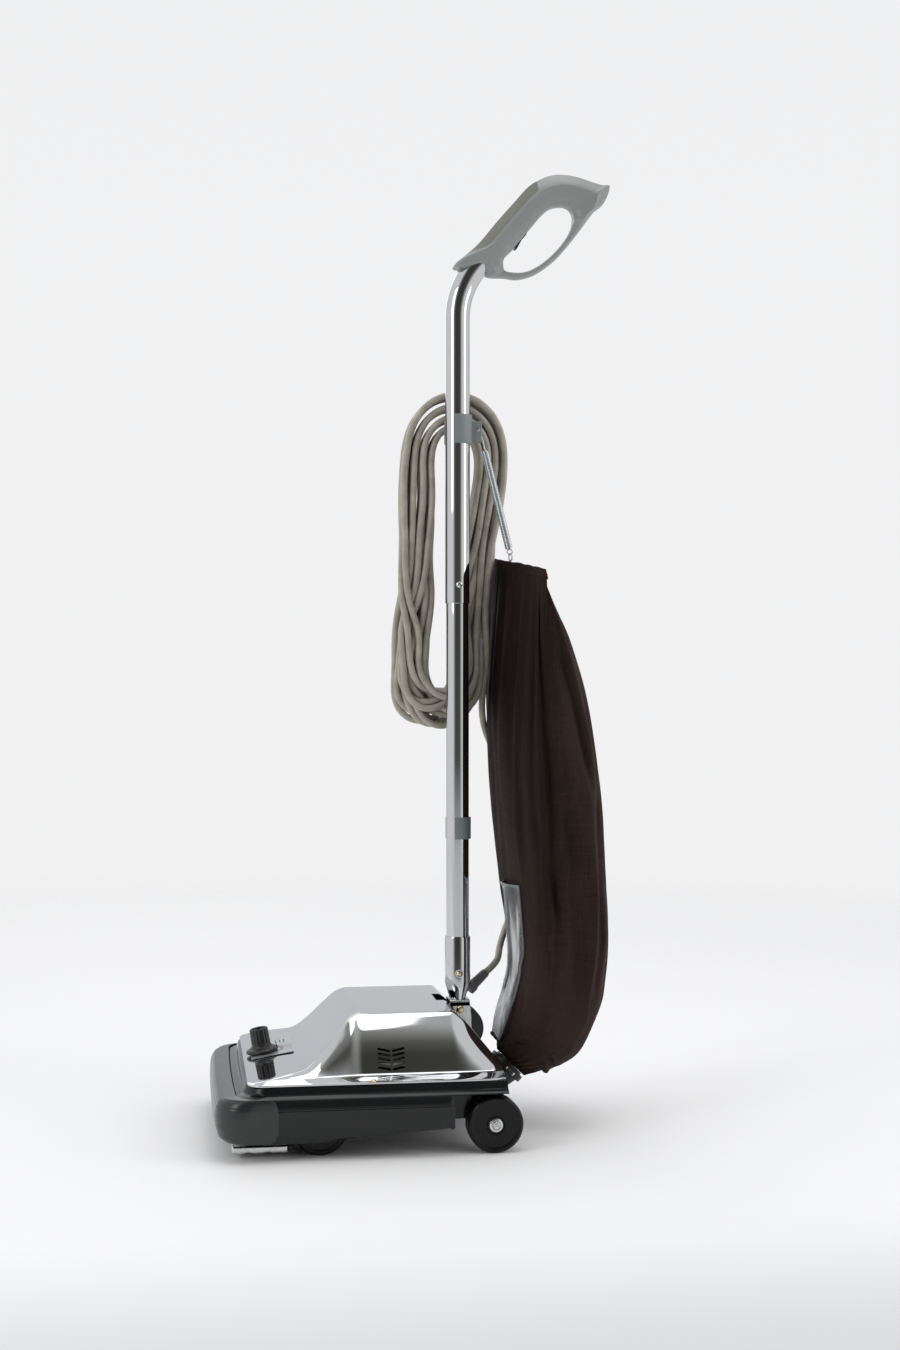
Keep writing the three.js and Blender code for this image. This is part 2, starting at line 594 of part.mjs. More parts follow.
add("upper_tube", upperTube, CHROME);
add("tube_screw", tubeScrew(669, UPPER_R, 0), ZINC);

// ---- clips on the tube ----
function tubeClip(z0, z1, r, wall) {
  const ring = rod("z", r + wall, z0, z1, 24, r + GAP);
  return cut(ring, box(-30, -30, z0 - 1, r * 0.55, -r * 0.35, z1 + 1));
}
add("lower_cord_clip", tubeClip(353, 380, TUBE_R, 2.4), GREY);

// The upper clip carries a lug for the bag's spring and an arm that the hank hangs on.
function upperClip() {
  const ear = (s) => box(Math.min(s * 2.4, s * 4.6), UPPER_R + 1, 847, Math.max(s * 2.4, s * 4.6), 30, 874);
  const bar = rod("x", 1.6, -4, 4, 12).translate(0, 25, CLIP_Z);
  return join(tubeClip(CLIP_Z - 18, CLIP_Z + 18, UPPER_R, 3), ear(1), ear(-1), bar);
}
add("upper_clip", upperClip(), GREY);
function cordHook() {
  const arm = box(-66, -5, 857, -UPPER_R - 3 - GAP, 9, 865);
  const tip = box(-66, -5, 857, -61, 9, 884);
  const root = box(-UPPER_R - 7, -8, 850, -UPPER_R - 3 - GAP, 10, 876);
  return join(arm, tip, root);
}
add("cord_hook", cordHook(), GREY);

// ---- bag spring ----
const SPRING = { top: [0, 33.2, 841], foot: [0, 66, 712] };
function springBetween(r, from, to) {
  const curve = new THREE.LineCurve3(new THREE.Vector3(...from), new THREE.Vector3(...to));
  return sweep(circle(r, 12), curve, 1);
}
function bagSpring() {
  const coil = springBetween(5, SPRING.top, SPRING.foot);
  const hook = springBetween(1.2, [0, 28.4, 858], [0, 35, 838]);
  const ring = new THREE.TorusGeometry(4.6, 1.1, 6, 14).rotateY(Math.PI / 2).translate(0, 66.6, 707.6);
  return join(coil, hook, ring);
}
add("bag_spring", bagSpring(), ZINC);

// ---- bag ----
// From the sewn top down to the inlet: front and rear points (y, z), half-width, twist, and fall from right to left.
const BAG_LEVELS = [
  [[70, 697], [78, 697], 97, 0.2, 0.13],
  [[66, 660], [120, 656], 99, 0.16, 0.08],
  [[66, 600], [142, 600], 102, 0.15, 0.03],
  [[66, 500], [170, 500], 104, 0.12, 0],
  [[68, 400], [187, 400], 105, 0.08, 0],
  [[73, 300], [196, 300], 105, 0.03, 0],
  [[79, 215], [REAR_Y, 226], 102, 0, 0],
  [[70, 168], [196, 174], 99, 0, 0],
  [[60, 134], [184, 134], 90, 0, 0],
  [[53, 112], [156, 94], 74, 0, 0],
  [[50.5, 97], [116, 66], 46, 0, 0],
  [[51, 88], [82.5, 56.5], 17, 0, 0],
];
// The bag's outside, or with an inset the room inside it, which runs out through the inlet at the bottom.
function bagSolid(inset) {
  const last = BAG_LEVELS.length - 1;
  const rings = BAG_LEVELS.map(([front, rear, half, twist, fall], i) => {
    const out = inset && i === last ? 3 : 0;
    const down = inset && i === 0 ? 3 : out;
    const y = (front[0] + rear[0]) / 2 - out;
    const z = (front[1] + rear[1]) / 2 - down;
    const rise = (rear[1] - front[1]) / (rear[0] - front[0]);
    const deep = (rear[0] - front[0]) / 2;
    const square = (c) => Math.sign(c) * Math.abs(c) ** 0.7;
    const outline = circle(1, 20).map(([c, s]) => [(half - inset) * square(c), (deep - inset) * square(s)]);
    const c = Math.cos(twist);
    const s = Math.sin(twist);
    const at = (u, v) => new THREE.Vector3(u * c - v * s, y + v * c + u * s, z + v * rise - u * fall);
    return { outline, at };
  });
  return loft(rings);
}
add("bag", cut(bagSolid(0), bagSolid(1.6)), CLOTH);

// A clear panel that bulges over the bag's lower front: foremost point (y, z), half-width, and depth of the bulge.
const WINDOW_LEVELS = [
  [56, 296, 40, 15], [61, 270, 40, 12], [64, 219, 40, 13], [65, 193, 38, 8], [60, 167, 38, 8], [52, 140, 36, 7],
  [47.5, 121, 30, 6], [44, 105, 22, 5],
];
function bagWindow() {
  const across = [-1, -0.6, -0.2, 0.2, 0.6, 1];
  return loft(
    WINDOW_LEVELS.map(([y, z, half, bulge]) => {
      const face = across.map((t) => [t * half, bulge * t * t]);
      const outline = [...face, ...face.map(([u, v]) => [u, v + 1.6]).reverse()];
      return { outline, at: (u, v) => new THREE.Vector3(u, y + v, z) };
    }),
  );
}
add("bag_window", bagWindow(), CLEAR);

// ---- outlet that the bag is strapped to ----
const outletLine = (before, after) =>
  smooth([[0, 36 - before, OUTLET_Z], [0, 46, OUTLET_Z], [0, 57, 63], [0, 66 + after, 72 + after]]);
function bagOutlet() {
  const outside = sweep(circle(20, 16), outletLine(-GAP, 0), 6);
  return cut(outside, sweep(circle(17.5, 16), outletLine(8, 6), 6));
}
add("bag_outlet", bagOutlet(), BLACK);
const clampRing = rod("z", 24.5, -4, 4, 20, 22).rotateX(-Math.PI / 4).translate(0, 61.4, 67.4);
add("bag_clamp", clampRing, BLACK);

// ---- grip: two shells round the end of the tube, a front insert and a rocker switch ----
const GRIP_OUTER = [
  [-5, 1065], [7, 1078], [26, 1095], [50, 1124], [72, 1149], [88, 1167], [104, 1178], [120, 1184], [136, 1185],
  [153, 1182.5], [170, 1177.5], [184, 1174], [193, 1173.5], [190, 1160], [183, 1148], [174, 1141], [164, 1128],
  [153, 1113], [138, 1094], [123, 1077.5], [106, 1064], [91, 1056], [74, 1052], [58, 1053.5], [40, 1054], [24, 1061],
];
const GRIP_HOLE = [
  [146, 1134], [145, 1122], [138, 1107], [124, 1089], [106, 1073], [88, 1063], [71, 1061], [59, 1064], [58, 1077],
  [71, 1091], [91, 1115.5], [107.6, 1135], [118, 1143], [131, 1146], [141, 1143],
];
const curveOf = (points, count) => {
  const curve = new THREE.CatmullRomCurve3(points.map(([y, z]) => new THREE.Vector3(y, z, 0)), true);
  return curve.getPoints(count).slice(0, count).map((p) => new THREE.Vector2(p.x, p.y));
};
// Shapes drawn in (y, z) and extruded along X.
const toSide = new THREE.Matrix4().makeBasis(
  new THREE.Vector3(0, 1, 0),
  new THREE.Vector3(0, 0, 1),
  new THREE.Vector3(1, 0, 0),
);
function gripBody() {
  const bevel = 2.5;
  const shape = new THREE.Shape(curveOf(GRIP_OUTER, 42).reverse());
  shape.holes.push(new THREE.Path(curveOf(GRIP_HOLE, 26)));
  const depth = 2 * (GRIP_HALF - bevel);
  const edge = { bevelThickness: bevel, bevelSize: bevel, bevelOffset: -bevel, bevelSegments: 1 };
  const made = new THREE.ExtrudeGeometry(shape, { depth, ...edge }).translate(0, 0, -depth / 2);
  return made.applyMatrix4(toSide);
}

const INSERT_EDGE = [[11, 1080.5], [28, 1096], [50, 1122.5], [72, 1147.5], [88, 1165.5], [99, 1173.5]];
const insetBy = (d) => ([y, z]) => [y + 0.74 * d, z - 0.67 * d];
const insertPlate = (top, depth, half) =>
  plateX([...INSERT_EDGE.map(insetBy(top)), ...INSERT_EDGE.map(insetBy(depth)).reverse()], -half, half);

// The rocker sits in the inner face of the grip's bar: `along` runs up the bar, `out` into the finger loop.
const ROCKER = { y: 79, z: 1100.5, along: [0.64, 0.768], out: [0.768, -0.64] };
const onBar = ([along, out]) => [
  ROCKER.y + along * ROCKER.along[0] + out * ROCKER.out[0],
  ROCKER.z + along * ROCKER.along[1] + out * ROCKER.out[1],
];
const barBlock = (a0, a1, o0, o1, half) =>
  plateX([[a0, o0], [a1, o0], [a1, o1], [a0, o1]].map(onBar), -half, half);

const whole = cut(
  gripBody(),
  bentTube(UPPER_R + GAP, BEND_Z - 5, 2.5, 18),
  insertPlate(-6, 2.3, 14.3),
  barBlock(-13.4, 13.4, -10.6, 12, 6.4),
  barBlock(-12.4, 12.4, -19.4, -10, 6.4),
);
onBothSides("grip_shell", GREY, (s) => cut(whole, box(Math.min(-s * 30, s * 0.15), -50, 1000, Math.max(-s * 30, s * 0.15), 250, 1250)));
add("grip_insert", insertPlate(0, 2, 14), DARK_GREY);
add("switch_rocker", plateX([[-12, -7], [12, -7], [12, 0.6], [0, 1.2], [-12, 3]].map(onBar), -6, 6), BLACK);
add("switch_body", barBlock(-12, 12, -19, -10.8, 6), BLACK);

// ---- power cord: relief on the socket, a run up past the bag, the hank on its hook, and the plug behind it ----
function strainRelief() {
  const line = new THREE.LineCurve3(new THREE.Vector3(-5.8, 14.9, 163.8), new THREE.Vector3(-14, 38, 183));
  const ring = (t, r) => {
    const p = line.getPoint(t);
    const along = line.getTangent(0);
    const side = new THREE.Vector3(1, 0, 0).addScaledVector(along, -along.x).normalize();
    const up = along.clone().cross(side);
    const at = (u, v) => p.clone().addScaledVector(side, u).addScaledVector(up, v);
    return { outline: circle(r, 12), at };
  };
  const boot = loft([ring(0, 8.2), ring(0.25, 8.2), ring(0.3, 6.8), ring(1, 5.4)]);
  return cut(boot, rod("z", SOCKET_R + GAP, 120, 232, 24));
}
add("strain_relief", strainRelief(), DARK_GREY);

const CORD_RUN = [
  [-14.2, 38.6, 183.5], [-17.4, 47.5, 190.9], [-30, 56, 198], [-54, 63, 210], [-85, 76, 230], [-109, 94, 262],
  [-117, 104, 320], [-115, 98, 390], [-105, 76, 438], [-90, 56, 470], [-74, 46, 490], [-59, 39, 501], [-46, 30, 503],
];
add("cord_run", sweep(circle(CORD_R, 8), smooth(CORD_RUN), 34), CORD_GREY);

const HANK_OUTSIDE = [
  [-10, 915], [30, 912], [57, 886], [67, 845], [62, 770], [53, 715], [38, 678], [35, 600], [33, 540], [18, 496], [-12, 483],
  [-50, 494], [-71, 530], [-74, 600], [-72, 700], [-69, 800], [-52, 882], [-36, 905],
];
const HANK_INSIDE = [
  [-4, 871], [17, 868], [27, 840], [22, 770], [10, 700], [2, 640], [-1, 570], [-8, 530], [-19, 530], [-28, 570], [-27, 650],
  [-24, 760], [-22, 840],
];
function cordHank() {
  return cut(plateX(HANK_OUTSIDE, HANK_X - 19, HANK_X + 17), plateX(HANK_INSIDE, HANK_X - 30, HANK_X + 30));
}
add("cord_hank", cordHank(), CORD_GREY);
const CORD_TAIL = [[-63.8, -40, 800], [-70, -42, 786], [-75, -44, 765], [-76.5, -45, 735], [-76.5, -46, 705]];
add("cord_tail", sweep(circle(CORD_R, 8), smooth(CORD_TAIL), 8), CORD_GREY);
function plug() {
  const body = [[0, 704.5], [6, 704.5], [7, 692], [12.5, 686], [13.5, 664], [12, 652], [0, 652]];
  const blade = (y) => box(-3.2, y - 0.8, 633, 3.2, y + 0.8, 653);
  const pin = rod("z", 2.4, 632, 653, 10).translate(5.5, 0, 0);
  return join(turned(body, "z", 18), blade(-6.3), blade(6.3), pin).translate(-76.5, -46, 0);
}
add("plug", plug(), BLACK);

export default vacuum;
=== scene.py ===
"""The looks of an upright vacuum cleaner with a cloth bag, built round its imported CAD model.

Shapes are worked out in millimetres with Y = 0 on the axis of the handle tube, as in the CAD source, and put() turns
them into the row frame in metres. The camera and the cord come first, then the materials, then each group of pieces.
"""
import json
import math

import bmesh
import bpy
import numpy as np
from mathutils import Matrix, Vector, noise
from mathutils.kdtree import KDTree

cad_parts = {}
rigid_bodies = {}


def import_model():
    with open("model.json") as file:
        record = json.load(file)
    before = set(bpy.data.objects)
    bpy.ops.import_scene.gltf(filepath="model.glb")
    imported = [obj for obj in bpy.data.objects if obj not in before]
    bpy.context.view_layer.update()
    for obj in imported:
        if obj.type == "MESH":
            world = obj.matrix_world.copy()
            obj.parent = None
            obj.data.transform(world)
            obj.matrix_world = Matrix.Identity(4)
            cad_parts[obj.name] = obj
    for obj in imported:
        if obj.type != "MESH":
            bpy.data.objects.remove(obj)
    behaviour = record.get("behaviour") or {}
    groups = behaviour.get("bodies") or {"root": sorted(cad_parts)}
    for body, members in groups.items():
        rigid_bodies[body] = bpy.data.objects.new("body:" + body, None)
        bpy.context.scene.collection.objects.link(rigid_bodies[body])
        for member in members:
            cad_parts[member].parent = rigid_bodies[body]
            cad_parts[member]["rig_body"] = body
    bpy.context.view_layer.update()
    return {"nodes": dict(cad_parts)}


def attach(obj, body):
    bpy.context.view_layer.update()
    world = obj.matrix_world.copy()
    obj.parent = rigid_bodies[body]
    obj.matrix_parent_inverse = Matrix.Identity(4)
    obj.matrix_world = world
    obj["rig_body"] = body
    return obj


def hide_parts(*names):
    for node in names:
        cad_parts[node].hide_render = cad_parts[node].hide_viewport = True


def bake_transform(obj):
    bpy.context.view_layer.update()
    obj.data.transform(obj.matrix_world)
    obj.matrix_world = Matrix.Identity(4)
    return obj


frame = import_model()
TUBE_Y = 53.0  # the tube's axis in the row frame
PI = math.pi
SIDES = ((1, "left"), (-1, "right"))


def body_of(node):
    """The body that a CAD node rides on."""
    return frame["nodes"][node]["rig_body"]


def put(points):
    """Points in millimetres, with Y = 0 on the tube's axis, in the row frame."""
    p = np.asarray(points, float).reshape(-1, 3) + (0, TUBE_Y, 0)
    return p * 0.001


# ---- camera, and how lights are added ----
CAMERA_PLACE, CAMERA_AIM = (2.3141, -0.2941, 0.557), (-0.98953, 0.14436, 0)


def add_object(name, data):
    made = bpy.data.objects.new(name, data)
    bpy.context.scene.collection.objects.link(made)
    return made


def add_camera():
    data = bpy.data.cameras.new("camera")
    data.sensor_fit, data.sensor_width, data.sensor_height = "VERTICAL", 36, 36
    data.lens = 50
    data.clip_start, data.clip_end = 0.05, 60
    camera = add_object("camera", data)
    camera.location = CAMERA_PLACE
    camera.rotation_euler = Vector(CAMERA_AIM).to_track_quat("-Z", "Y").to_euler()
    bpy.context.scene.camera = camera


def add_light(name, place, target, size, power):
    data = bpy.data.lights.new(name, "AREA")
    data.shape, data.size, data.size_y = "RECTANGLE", size[0], size[1]
    data.energy = power
    light = add_object(name, data)
    light.location = place
    light.rotation_euler = (Vector(target) - Vector(place)).to_track_quat("-Z", "Y").to_euler()
    light.visible_camera = False


add_camera()


# ---- cord: its route, wound by a loop and then settled so that its turns lie beside each other ----
CORD_D = 8.5
CORD_RUN = [
    (-14.2, 38.6, 183.5), (-17.4, 47.5, 190.9), (-30, 56, 198), (-54, 63, 210), (-85, 76, 230), (-109, 94, 262),
    (-117, 104, 320), (-115, 98, 390), (-105, 76, 438), (-90, 56, 470), (-74, 46, 490), (-61, 41, 506),
]
CORD_TAIL = [(-62, -62, 800), (-69, -56, 770), (-75, -49, 740), (-76.5, -46, 718), (-76.5, -46, 704)]
CORD_STEP = 6.0
MIN_BEND = 28.0
HOOK_TOP = 870.0  # where the innermost turn's centre line passes over the hook
TURNS = 17
HANK_X = (-80, -24.5)  # how far the hank may lie from the tube on its side
HANK_BEND_TOP = 700  # tight bends are eased below this height


def mix(a, b, t):
    return a + (b - a) * t


def between(a, b, c, d, t):
    """A place between b and c on a smooth curve through four points."""
    return 0.5 * (2 * b + (c - a) * t + (2 * a - 5 * b + 4 * c - d) * t**2 + (3 * b - a - 3 * c + d) * t**3)


def respaced(line, step):
    along = np.concatenate([[0], np.cumsum(np.linalg.norm(np.diff(line, axis=0), axis=1))])
    at = np.linspace(0, along[-1], int(round(along[-1] / step)) + 1)
    return np.stack([np.interp(at, along, line[:, k]) for k in range(3)], axis=1)


def smooth_line(points, step):
    """Points a step apart on a smooth curve through the given points."""
    p = np.array(points, float)
    p = np.vstack([2 * p[0] - p[1], p, 2 * p[-1] - p[-2]])
    out = []
    for a, b, c, d in zip(p, p[1:], p[2:], p[3:]):
        count = max(2, int(np.linalg.norm(c - b) / step * 2))
        out.append(between(a, b, c, d, np.linspace(0, 1, count, endpoint=False)[:, None]))
    return respaced(np.vstack([*out, p[-2][None]]), step)


def hank_points(turns, seed):
    """Points along the hank: up its right leg, over the hook, down its left leg and round the bottom, turn by turn."""
    rng = np.random.default_rng(seed)
    jitter = lambda a: float(rng.uniform(-a, a))
    per_lane = math.ceil(turns / 4)
    lanes = [k / per_lane for k in range(turns)]
    tops = np.concatenate([rng.permutation(4) for _ in range(per_lane)])[:turns] / 3
    lane_x = lambda lane: mix(-27.6, -56, lane / 3.8)
    low_lane = [lane + jitter(0.45) for lane in lanes]
    for i in (2, 6, 11):
        low_lane[i], low_lane[i + 3] = low_lane[i + 3], low_lane[i]
    snake = [3, 2, 1, 0, 0, 1, 2, 3]
    shift = [mix(snake[k % 8] / 3, 1 - lanes[k] / 3.8, 0.3) for k in range(turns)]
    left = lambda s: mix(-71, -35, s)
    right = lambda s: mix(1, 34, s)
    points = []
    for k in range(turns):
        t, s = tops[k], shift[k]
        x_top, x_low = lane_x(lanes[k]), lane_x(low_lane[k])
        if k:
            points.append((x_low + jitter(1), right(s), 560 + jitter(8)))
        points += [
            (mix(x_low, x_top, 0.3), mix(right(s), mix(8, 41, t), 0.4), 635 + jitter(10)),
            (mix(x_low, x_top, 0.7), mix(right(s), mix(18, 48, t), 0.85), 715 + jitter(8)),
            (x_top, mix(29, 58, t), 785 + jitter(5)),
        ]
        half, high, middle = mix(31, 61, t), mix(31, 71, t), mix(2, 1.5, t)
        for a in np.radians((0, 30, 60, 90, 120, 150, 180)):
            points.append((x_top, middle + half * math.cos(a), 840 + high * math.sin(a)))
        if k == turns - 1:
            return points
        after, x_next = left(shift[k + 1]), lane_x(low_lane[k + 1])
        points += [
            (x_top, mix(-29, -65, t), 765 + jitter(8)),
            (mix(x_top, x_next, 0.35), mix(mix(-29, -66, t), after, 0.35), 690 + jitter(10)),
            (mix(x_top, x_next, 0.8), mix(mix(-29, -67, t), after, 0.8), 615 + jitter(10)),
        ]
        far = right(shift[k + 1])
        half, middle = (far - after) / 2, (far + after) / 2
        low, high = 486 + 24 * rng.random(), 38 + 6 * rng.random()
        for a in np.radians((180, 215, 250, 290, 325)):
            points.append((x_next, middle + half * math.cos(a), low + high + high * math.sin(a)))


def settled(line, first, loops):
    """The line with its turns pushed a diameter apart, kept stiff, and held off the hook and the tube."""
    reach = CORD_D * 1.03
    for loop in range(loops):
        n = len(line)
        tree = KDTree(n)
        for i, p in enumerate(line):
            tree.insert(p, i)
        tree.balance()
        push, count = np.zeros_like(line), np.ones(n)
        for i in range(n):
            for _, j, gap in tree.find_range(line[i], reach):
                if j - i > 7:
                    away = (line[i] - line[j]) / max(gap, 0.01) * (reach - gap) * 0.5
                    push[i] += away
                    push[j] -= away
                    count[i] += 1
                    count[j] += 1
        moved = line + push / np.sqrt(np.maximum(count - 1, 1))[:, None] * 0.9
        for _ in range(5):
            bend, change = np.zeros_like(moved), np.zeros_like(moved)
            bend[1:-1] = (moved[:-2] + moved[2:]) / 2 - moved[1:-1]
            change[2:-2] = (bend[1:-3] + bend[3:-1]) / 2 - bend[2:-2]
            moved -= 0.35 * change
            sharp = (np.linalg.norm(bend, axis=1) > CORD_STEP**2 / 2 / MIN_BEND) & (moved[:, 2] < HANK_BEND_TOP)
            moved[sharp] += 0.12 * bend[sharp]
        y, z = moved[:, 1], moved[:, 2]
        saddle = HOOK_TOP - MIN_BEND + np.sqrt(np.maximum(MIN_BEND**2 - (y - 2) ** 2, 0))
        low = (np.abs(y - 2) < 24) & (z > 835) & (z < saddle)
        moved[low, 2] = saddle[low]
        moved[first:, 0] = np.clip(moved[first:, 0], *HANK_X)
        new = line.copy()
        new[first : n - 5] = moved[first : n - 5]
        line = respaced(new, CORD_STEP) if loop % 10 == 0 and loop < loops - 10 else new
    return line


def cord_route():
    line = smooth_line(CORD_RUN + hank_points(TURNS, 3) + CORD_TAIL, CORD_STEP)
    first = int(np.argmin(np.linalg.norm(line - np.array(CORD_RUN[-2]), axis=1)))
    return settled(line, first, 130)


def curve_object(name, line, radius):
    data = bpy.data.curves.new(name, "CURVE")
    data.dimensions, data.bevel_depth, data.bevel_resolution = "3D", radius * 0.001, 4
    data.use_fill_caps = True
    spline = data.splines.new("POLY")
    spline.points.add(len(line) - 1)
    for point, place in zip(spline.points, put(line)):
        point.co = (*place, 1)
    spline.use_smooth = True
    return add_object(name, data)


CORD_LINE = cord_route()
cord = curve_object("power_cord", CORD_LINE, CORD_D / 2)


# ---- meshes ----
def mesh_object(name, points, faces, sharp=35):
    """A smooth-shaded mesh of points in millimetres, with doubles merged and edges sharp above that angle."""
    data = bpy.data.meshes.new(name)
    data.from_pydata(put(points).tolist(), [], [list(map(int, f)) for f in faces])
    made = add_object(name, data)
    tidy(made, sharp)
    return made


def tidy(made, sharp):
    shape = bmesh.new()
    shape.from_mesh(made.data)
    bmesh.ops.remove_doubles(shape, verts=shape.verts, dist=2e-6)
    bmesh.ops.dissolve_degenerate(shape, edges=shape.edges, dist=1e-6)
    bmesh.ops.recalc_face_normals(shape, faces=shape.faces)
    shape.to_mesh(made.data)
    shape.free()
    made.data.shade_smooth()
    made.data.set_sharp_from_angle(angle=math.radians(sharp))


def join_shapes(*shapes):
    points, faces, start = [], [], 0
    for p, f in shapes:
        points.append(np.asarray(p, float))
        faces += [[i + start for i in face] for face in f]
        start += len(p)
    return np.vstack(points), faces


def loft(rings, caps=True, loop=False):
    """A shape through rings of points. With loop, the last ring joins the first."""
    rings = np.asarray(rings, float)
    n, k = rings.shape[:2]
    faces = []
    for r in range(n if loop else n - 1):
        for i in range(k):
            j, s = (i + 1) % k, (r + 1) % n
            faces.append((r * k + i, r * k + j, s * k + j, s * k + i))
    if caps and not loop:
        faces += [tuple(range(k))[::-1], tuple(range((n - 1) * k, n * k))]
    return rings.reshape(-1, 3), faces


def frame_of(axis):
    """Two directions square to a direction, and the direction itself."""
    axis = np.array(axis, float) / np.linalg.norm(axis)
    side = np.cross(axis, (1, 0, 0) if abs(axis[0]) < 0.9 else (0, 1, 0))
    side /= np.linalg.norm(side)
    return side, np.cross(axis, side), axis


def revolve(profile, centre=(0, 0, 0), axis=(0, 0, 1), sides=64):
    """A shape of revolution from (radius, distance along the axis) pairs."""
    side, up, along = frame_of(axis)
    a = np.linspace(0, 2 * PI, sides, endpoint=False)[:, None]
    ring = np.cos(a) * side + np.sin(a) * up
    rings = [np.array(centre) + max(r, 1e-4) * ring + d * along for r, d in profile]
    return loft(rings, caps=False, loop=np.allclose(profile[0], profile[-1]) and profile[0][0] > 0.01)


def rounded(points, radius, steps=4, closed=False):
    """An outline with each corner replaced by a round one of that radius, or as much of it as fits."""
    p = [np.array(q, float) for q in points]
    out = []
    for i, b in enumerate(p):
        if not closed and i in (0, len(p) - 1):
            out.append(b)
            continue
        a, c = p[i - 1], p[(i + 1) % len(p)]
        u, v = a - b, c - b
        long_u, long_v = np.linalg.norm(u), np.linalg.norm(v)
        angle = math.acos(max(-1, min(1, float(u @ v) / (long_u * long_v))))
        back = min(radius / math.tan(min(angle, 3.1) / 2), long_u * 0.45, long_v * 0.45)
        start, end = b + u / long_u * back, b + v / long_v * back
        out += [(1 - t) ** 2 * start + 2 * (1 - t) * t * b + t * t * end for t in np.linspace(0, 1, steps + 1)]
    return [tuple(q) for q in out]


def tube_along(line, radius, sides=16, caps=True):
    """A round tube along a line. The radius is a number or one for each point."""
    line = np.asarray(line, float)
    radii = np.full(len(line), radius) if np.isscalar(radius) else np.asarray(radius)
    tangents = np.gradient(line, axis=0)
    tangents /= np.linalg.norm(tangents, axis=1)[:, None]
    side = frame_of(tangents[0])[0]
    a = np.linspace(0, 2 * PI, sides, endpoint=False)[:, None]
    rings = []
    for p, t, r in zip(line, tangents, radii):
        side = side - t * (side @ t)
        side /= np.linalg.norm(side)
        rings.append(p + r * (np.cos(a) * side + np.sin(a) * np.cross(t, side)))
    return loft(rings, caps=caps)


def prism(outline, start, end, to_point):
    """An outline of (u, v) pairs between two places along a third direction; to_point places (u, v, w)."""
    return loft([[to_point(u, v, w) for u, v in outline] for w in (start, end)])


def on_x(u, v, w):
    return (w, u, v)


def side_prism(outline, near, far):
    """A prism across the object, from one distance from its middle to another, of a (y, z) outline."""
    return prism(outline, near, far, on_x)


def box_shape(low, high):
    (x0, y0, z0), (x1, y1, z1) = low, high
    return loft([[(x, y0, z0), (x, y1, z0), (x, y1, z1), (x, y0, z1)] for x in (x0, x1)])


def side_box(side, near, far, y, z):
    """A box on one side of the middle, from one distance from it to another."""
    x0, x1 = sorted((side * near, side * far))
    return box_shape((x0, y[0], z[0]), (x1, y[1], z[1]))


def bevel(made, width, segments=3, angle=35):
    mod = made.modifiers.new("bevel", "BEVEL")
    mod.width, mod.segments, mod.limit_method = width * 0.001, segments, "ANGLE"
    mod.angle_limit, mod.harden_normals = math.radians(angle), False


def applied(made, sharp=35):
    """The piece with its modifiers worked into its mesh."""
    bpy.context.view_layer.update()
    data = bpy.data.meshes.new_from_object(made.evaluated_get(bpy.context.evaluated_depsgraph_get()))
    made.modifiers.clear()
    made.data = data
    tidy(made, sharp)
    return made


def carve(made, *shapes, sharp=35):
    """Cuts shapes out of a closed piece."""
    tool = mesh_object("tool", *join_shapes(*shapes))
    mod = made.modifiers.new("cut", "BOOLEAN")
    mod.operation, mod.solver, mod.object, mod.use_self = "DIFFERENCE", "EXACT", tool, len(shapes) > 1
    applied(made, sharp)
    bpy.data.objects.remove(tool)
    return made


def pchip(x, y, at):
    """Values at places between given ones, on a smooth curve that doesn't overshoot."""
    x, y, at = np.array(x, float), np.array(y, float), np.asarray(at, float)
    step, rise = np.diff(x), np.diff(y) / np.diff(x)
    slope = np.zeros_like(y)
    for i in range(1, len(x) - 1):
        if rise[i - 1] * rise[i] > 0:
            a, b = 2 * step[i] + step[i - 1], step[i] + 2 * step[i - 1]
            slope[i] = (a + b) / (a / rise[i - 1] + b / rise[i])
    slope[0], slope[-1] = rise[0], rise[-1]
    i = np.clip(np.searchsorted(x, at, side="right") - 1, 0, len(x) - 2)
    t = (at - x[i]) / step[i]
    ends = (1 + 2 * t) * (1 - t) ** 2 * y[i] + t * t * (3 - 2 * t) * y[i + 1]
    return ends + t * (1 - t) * step[i] * ((1 - t) * slope[i] - t * slope[i + 1])


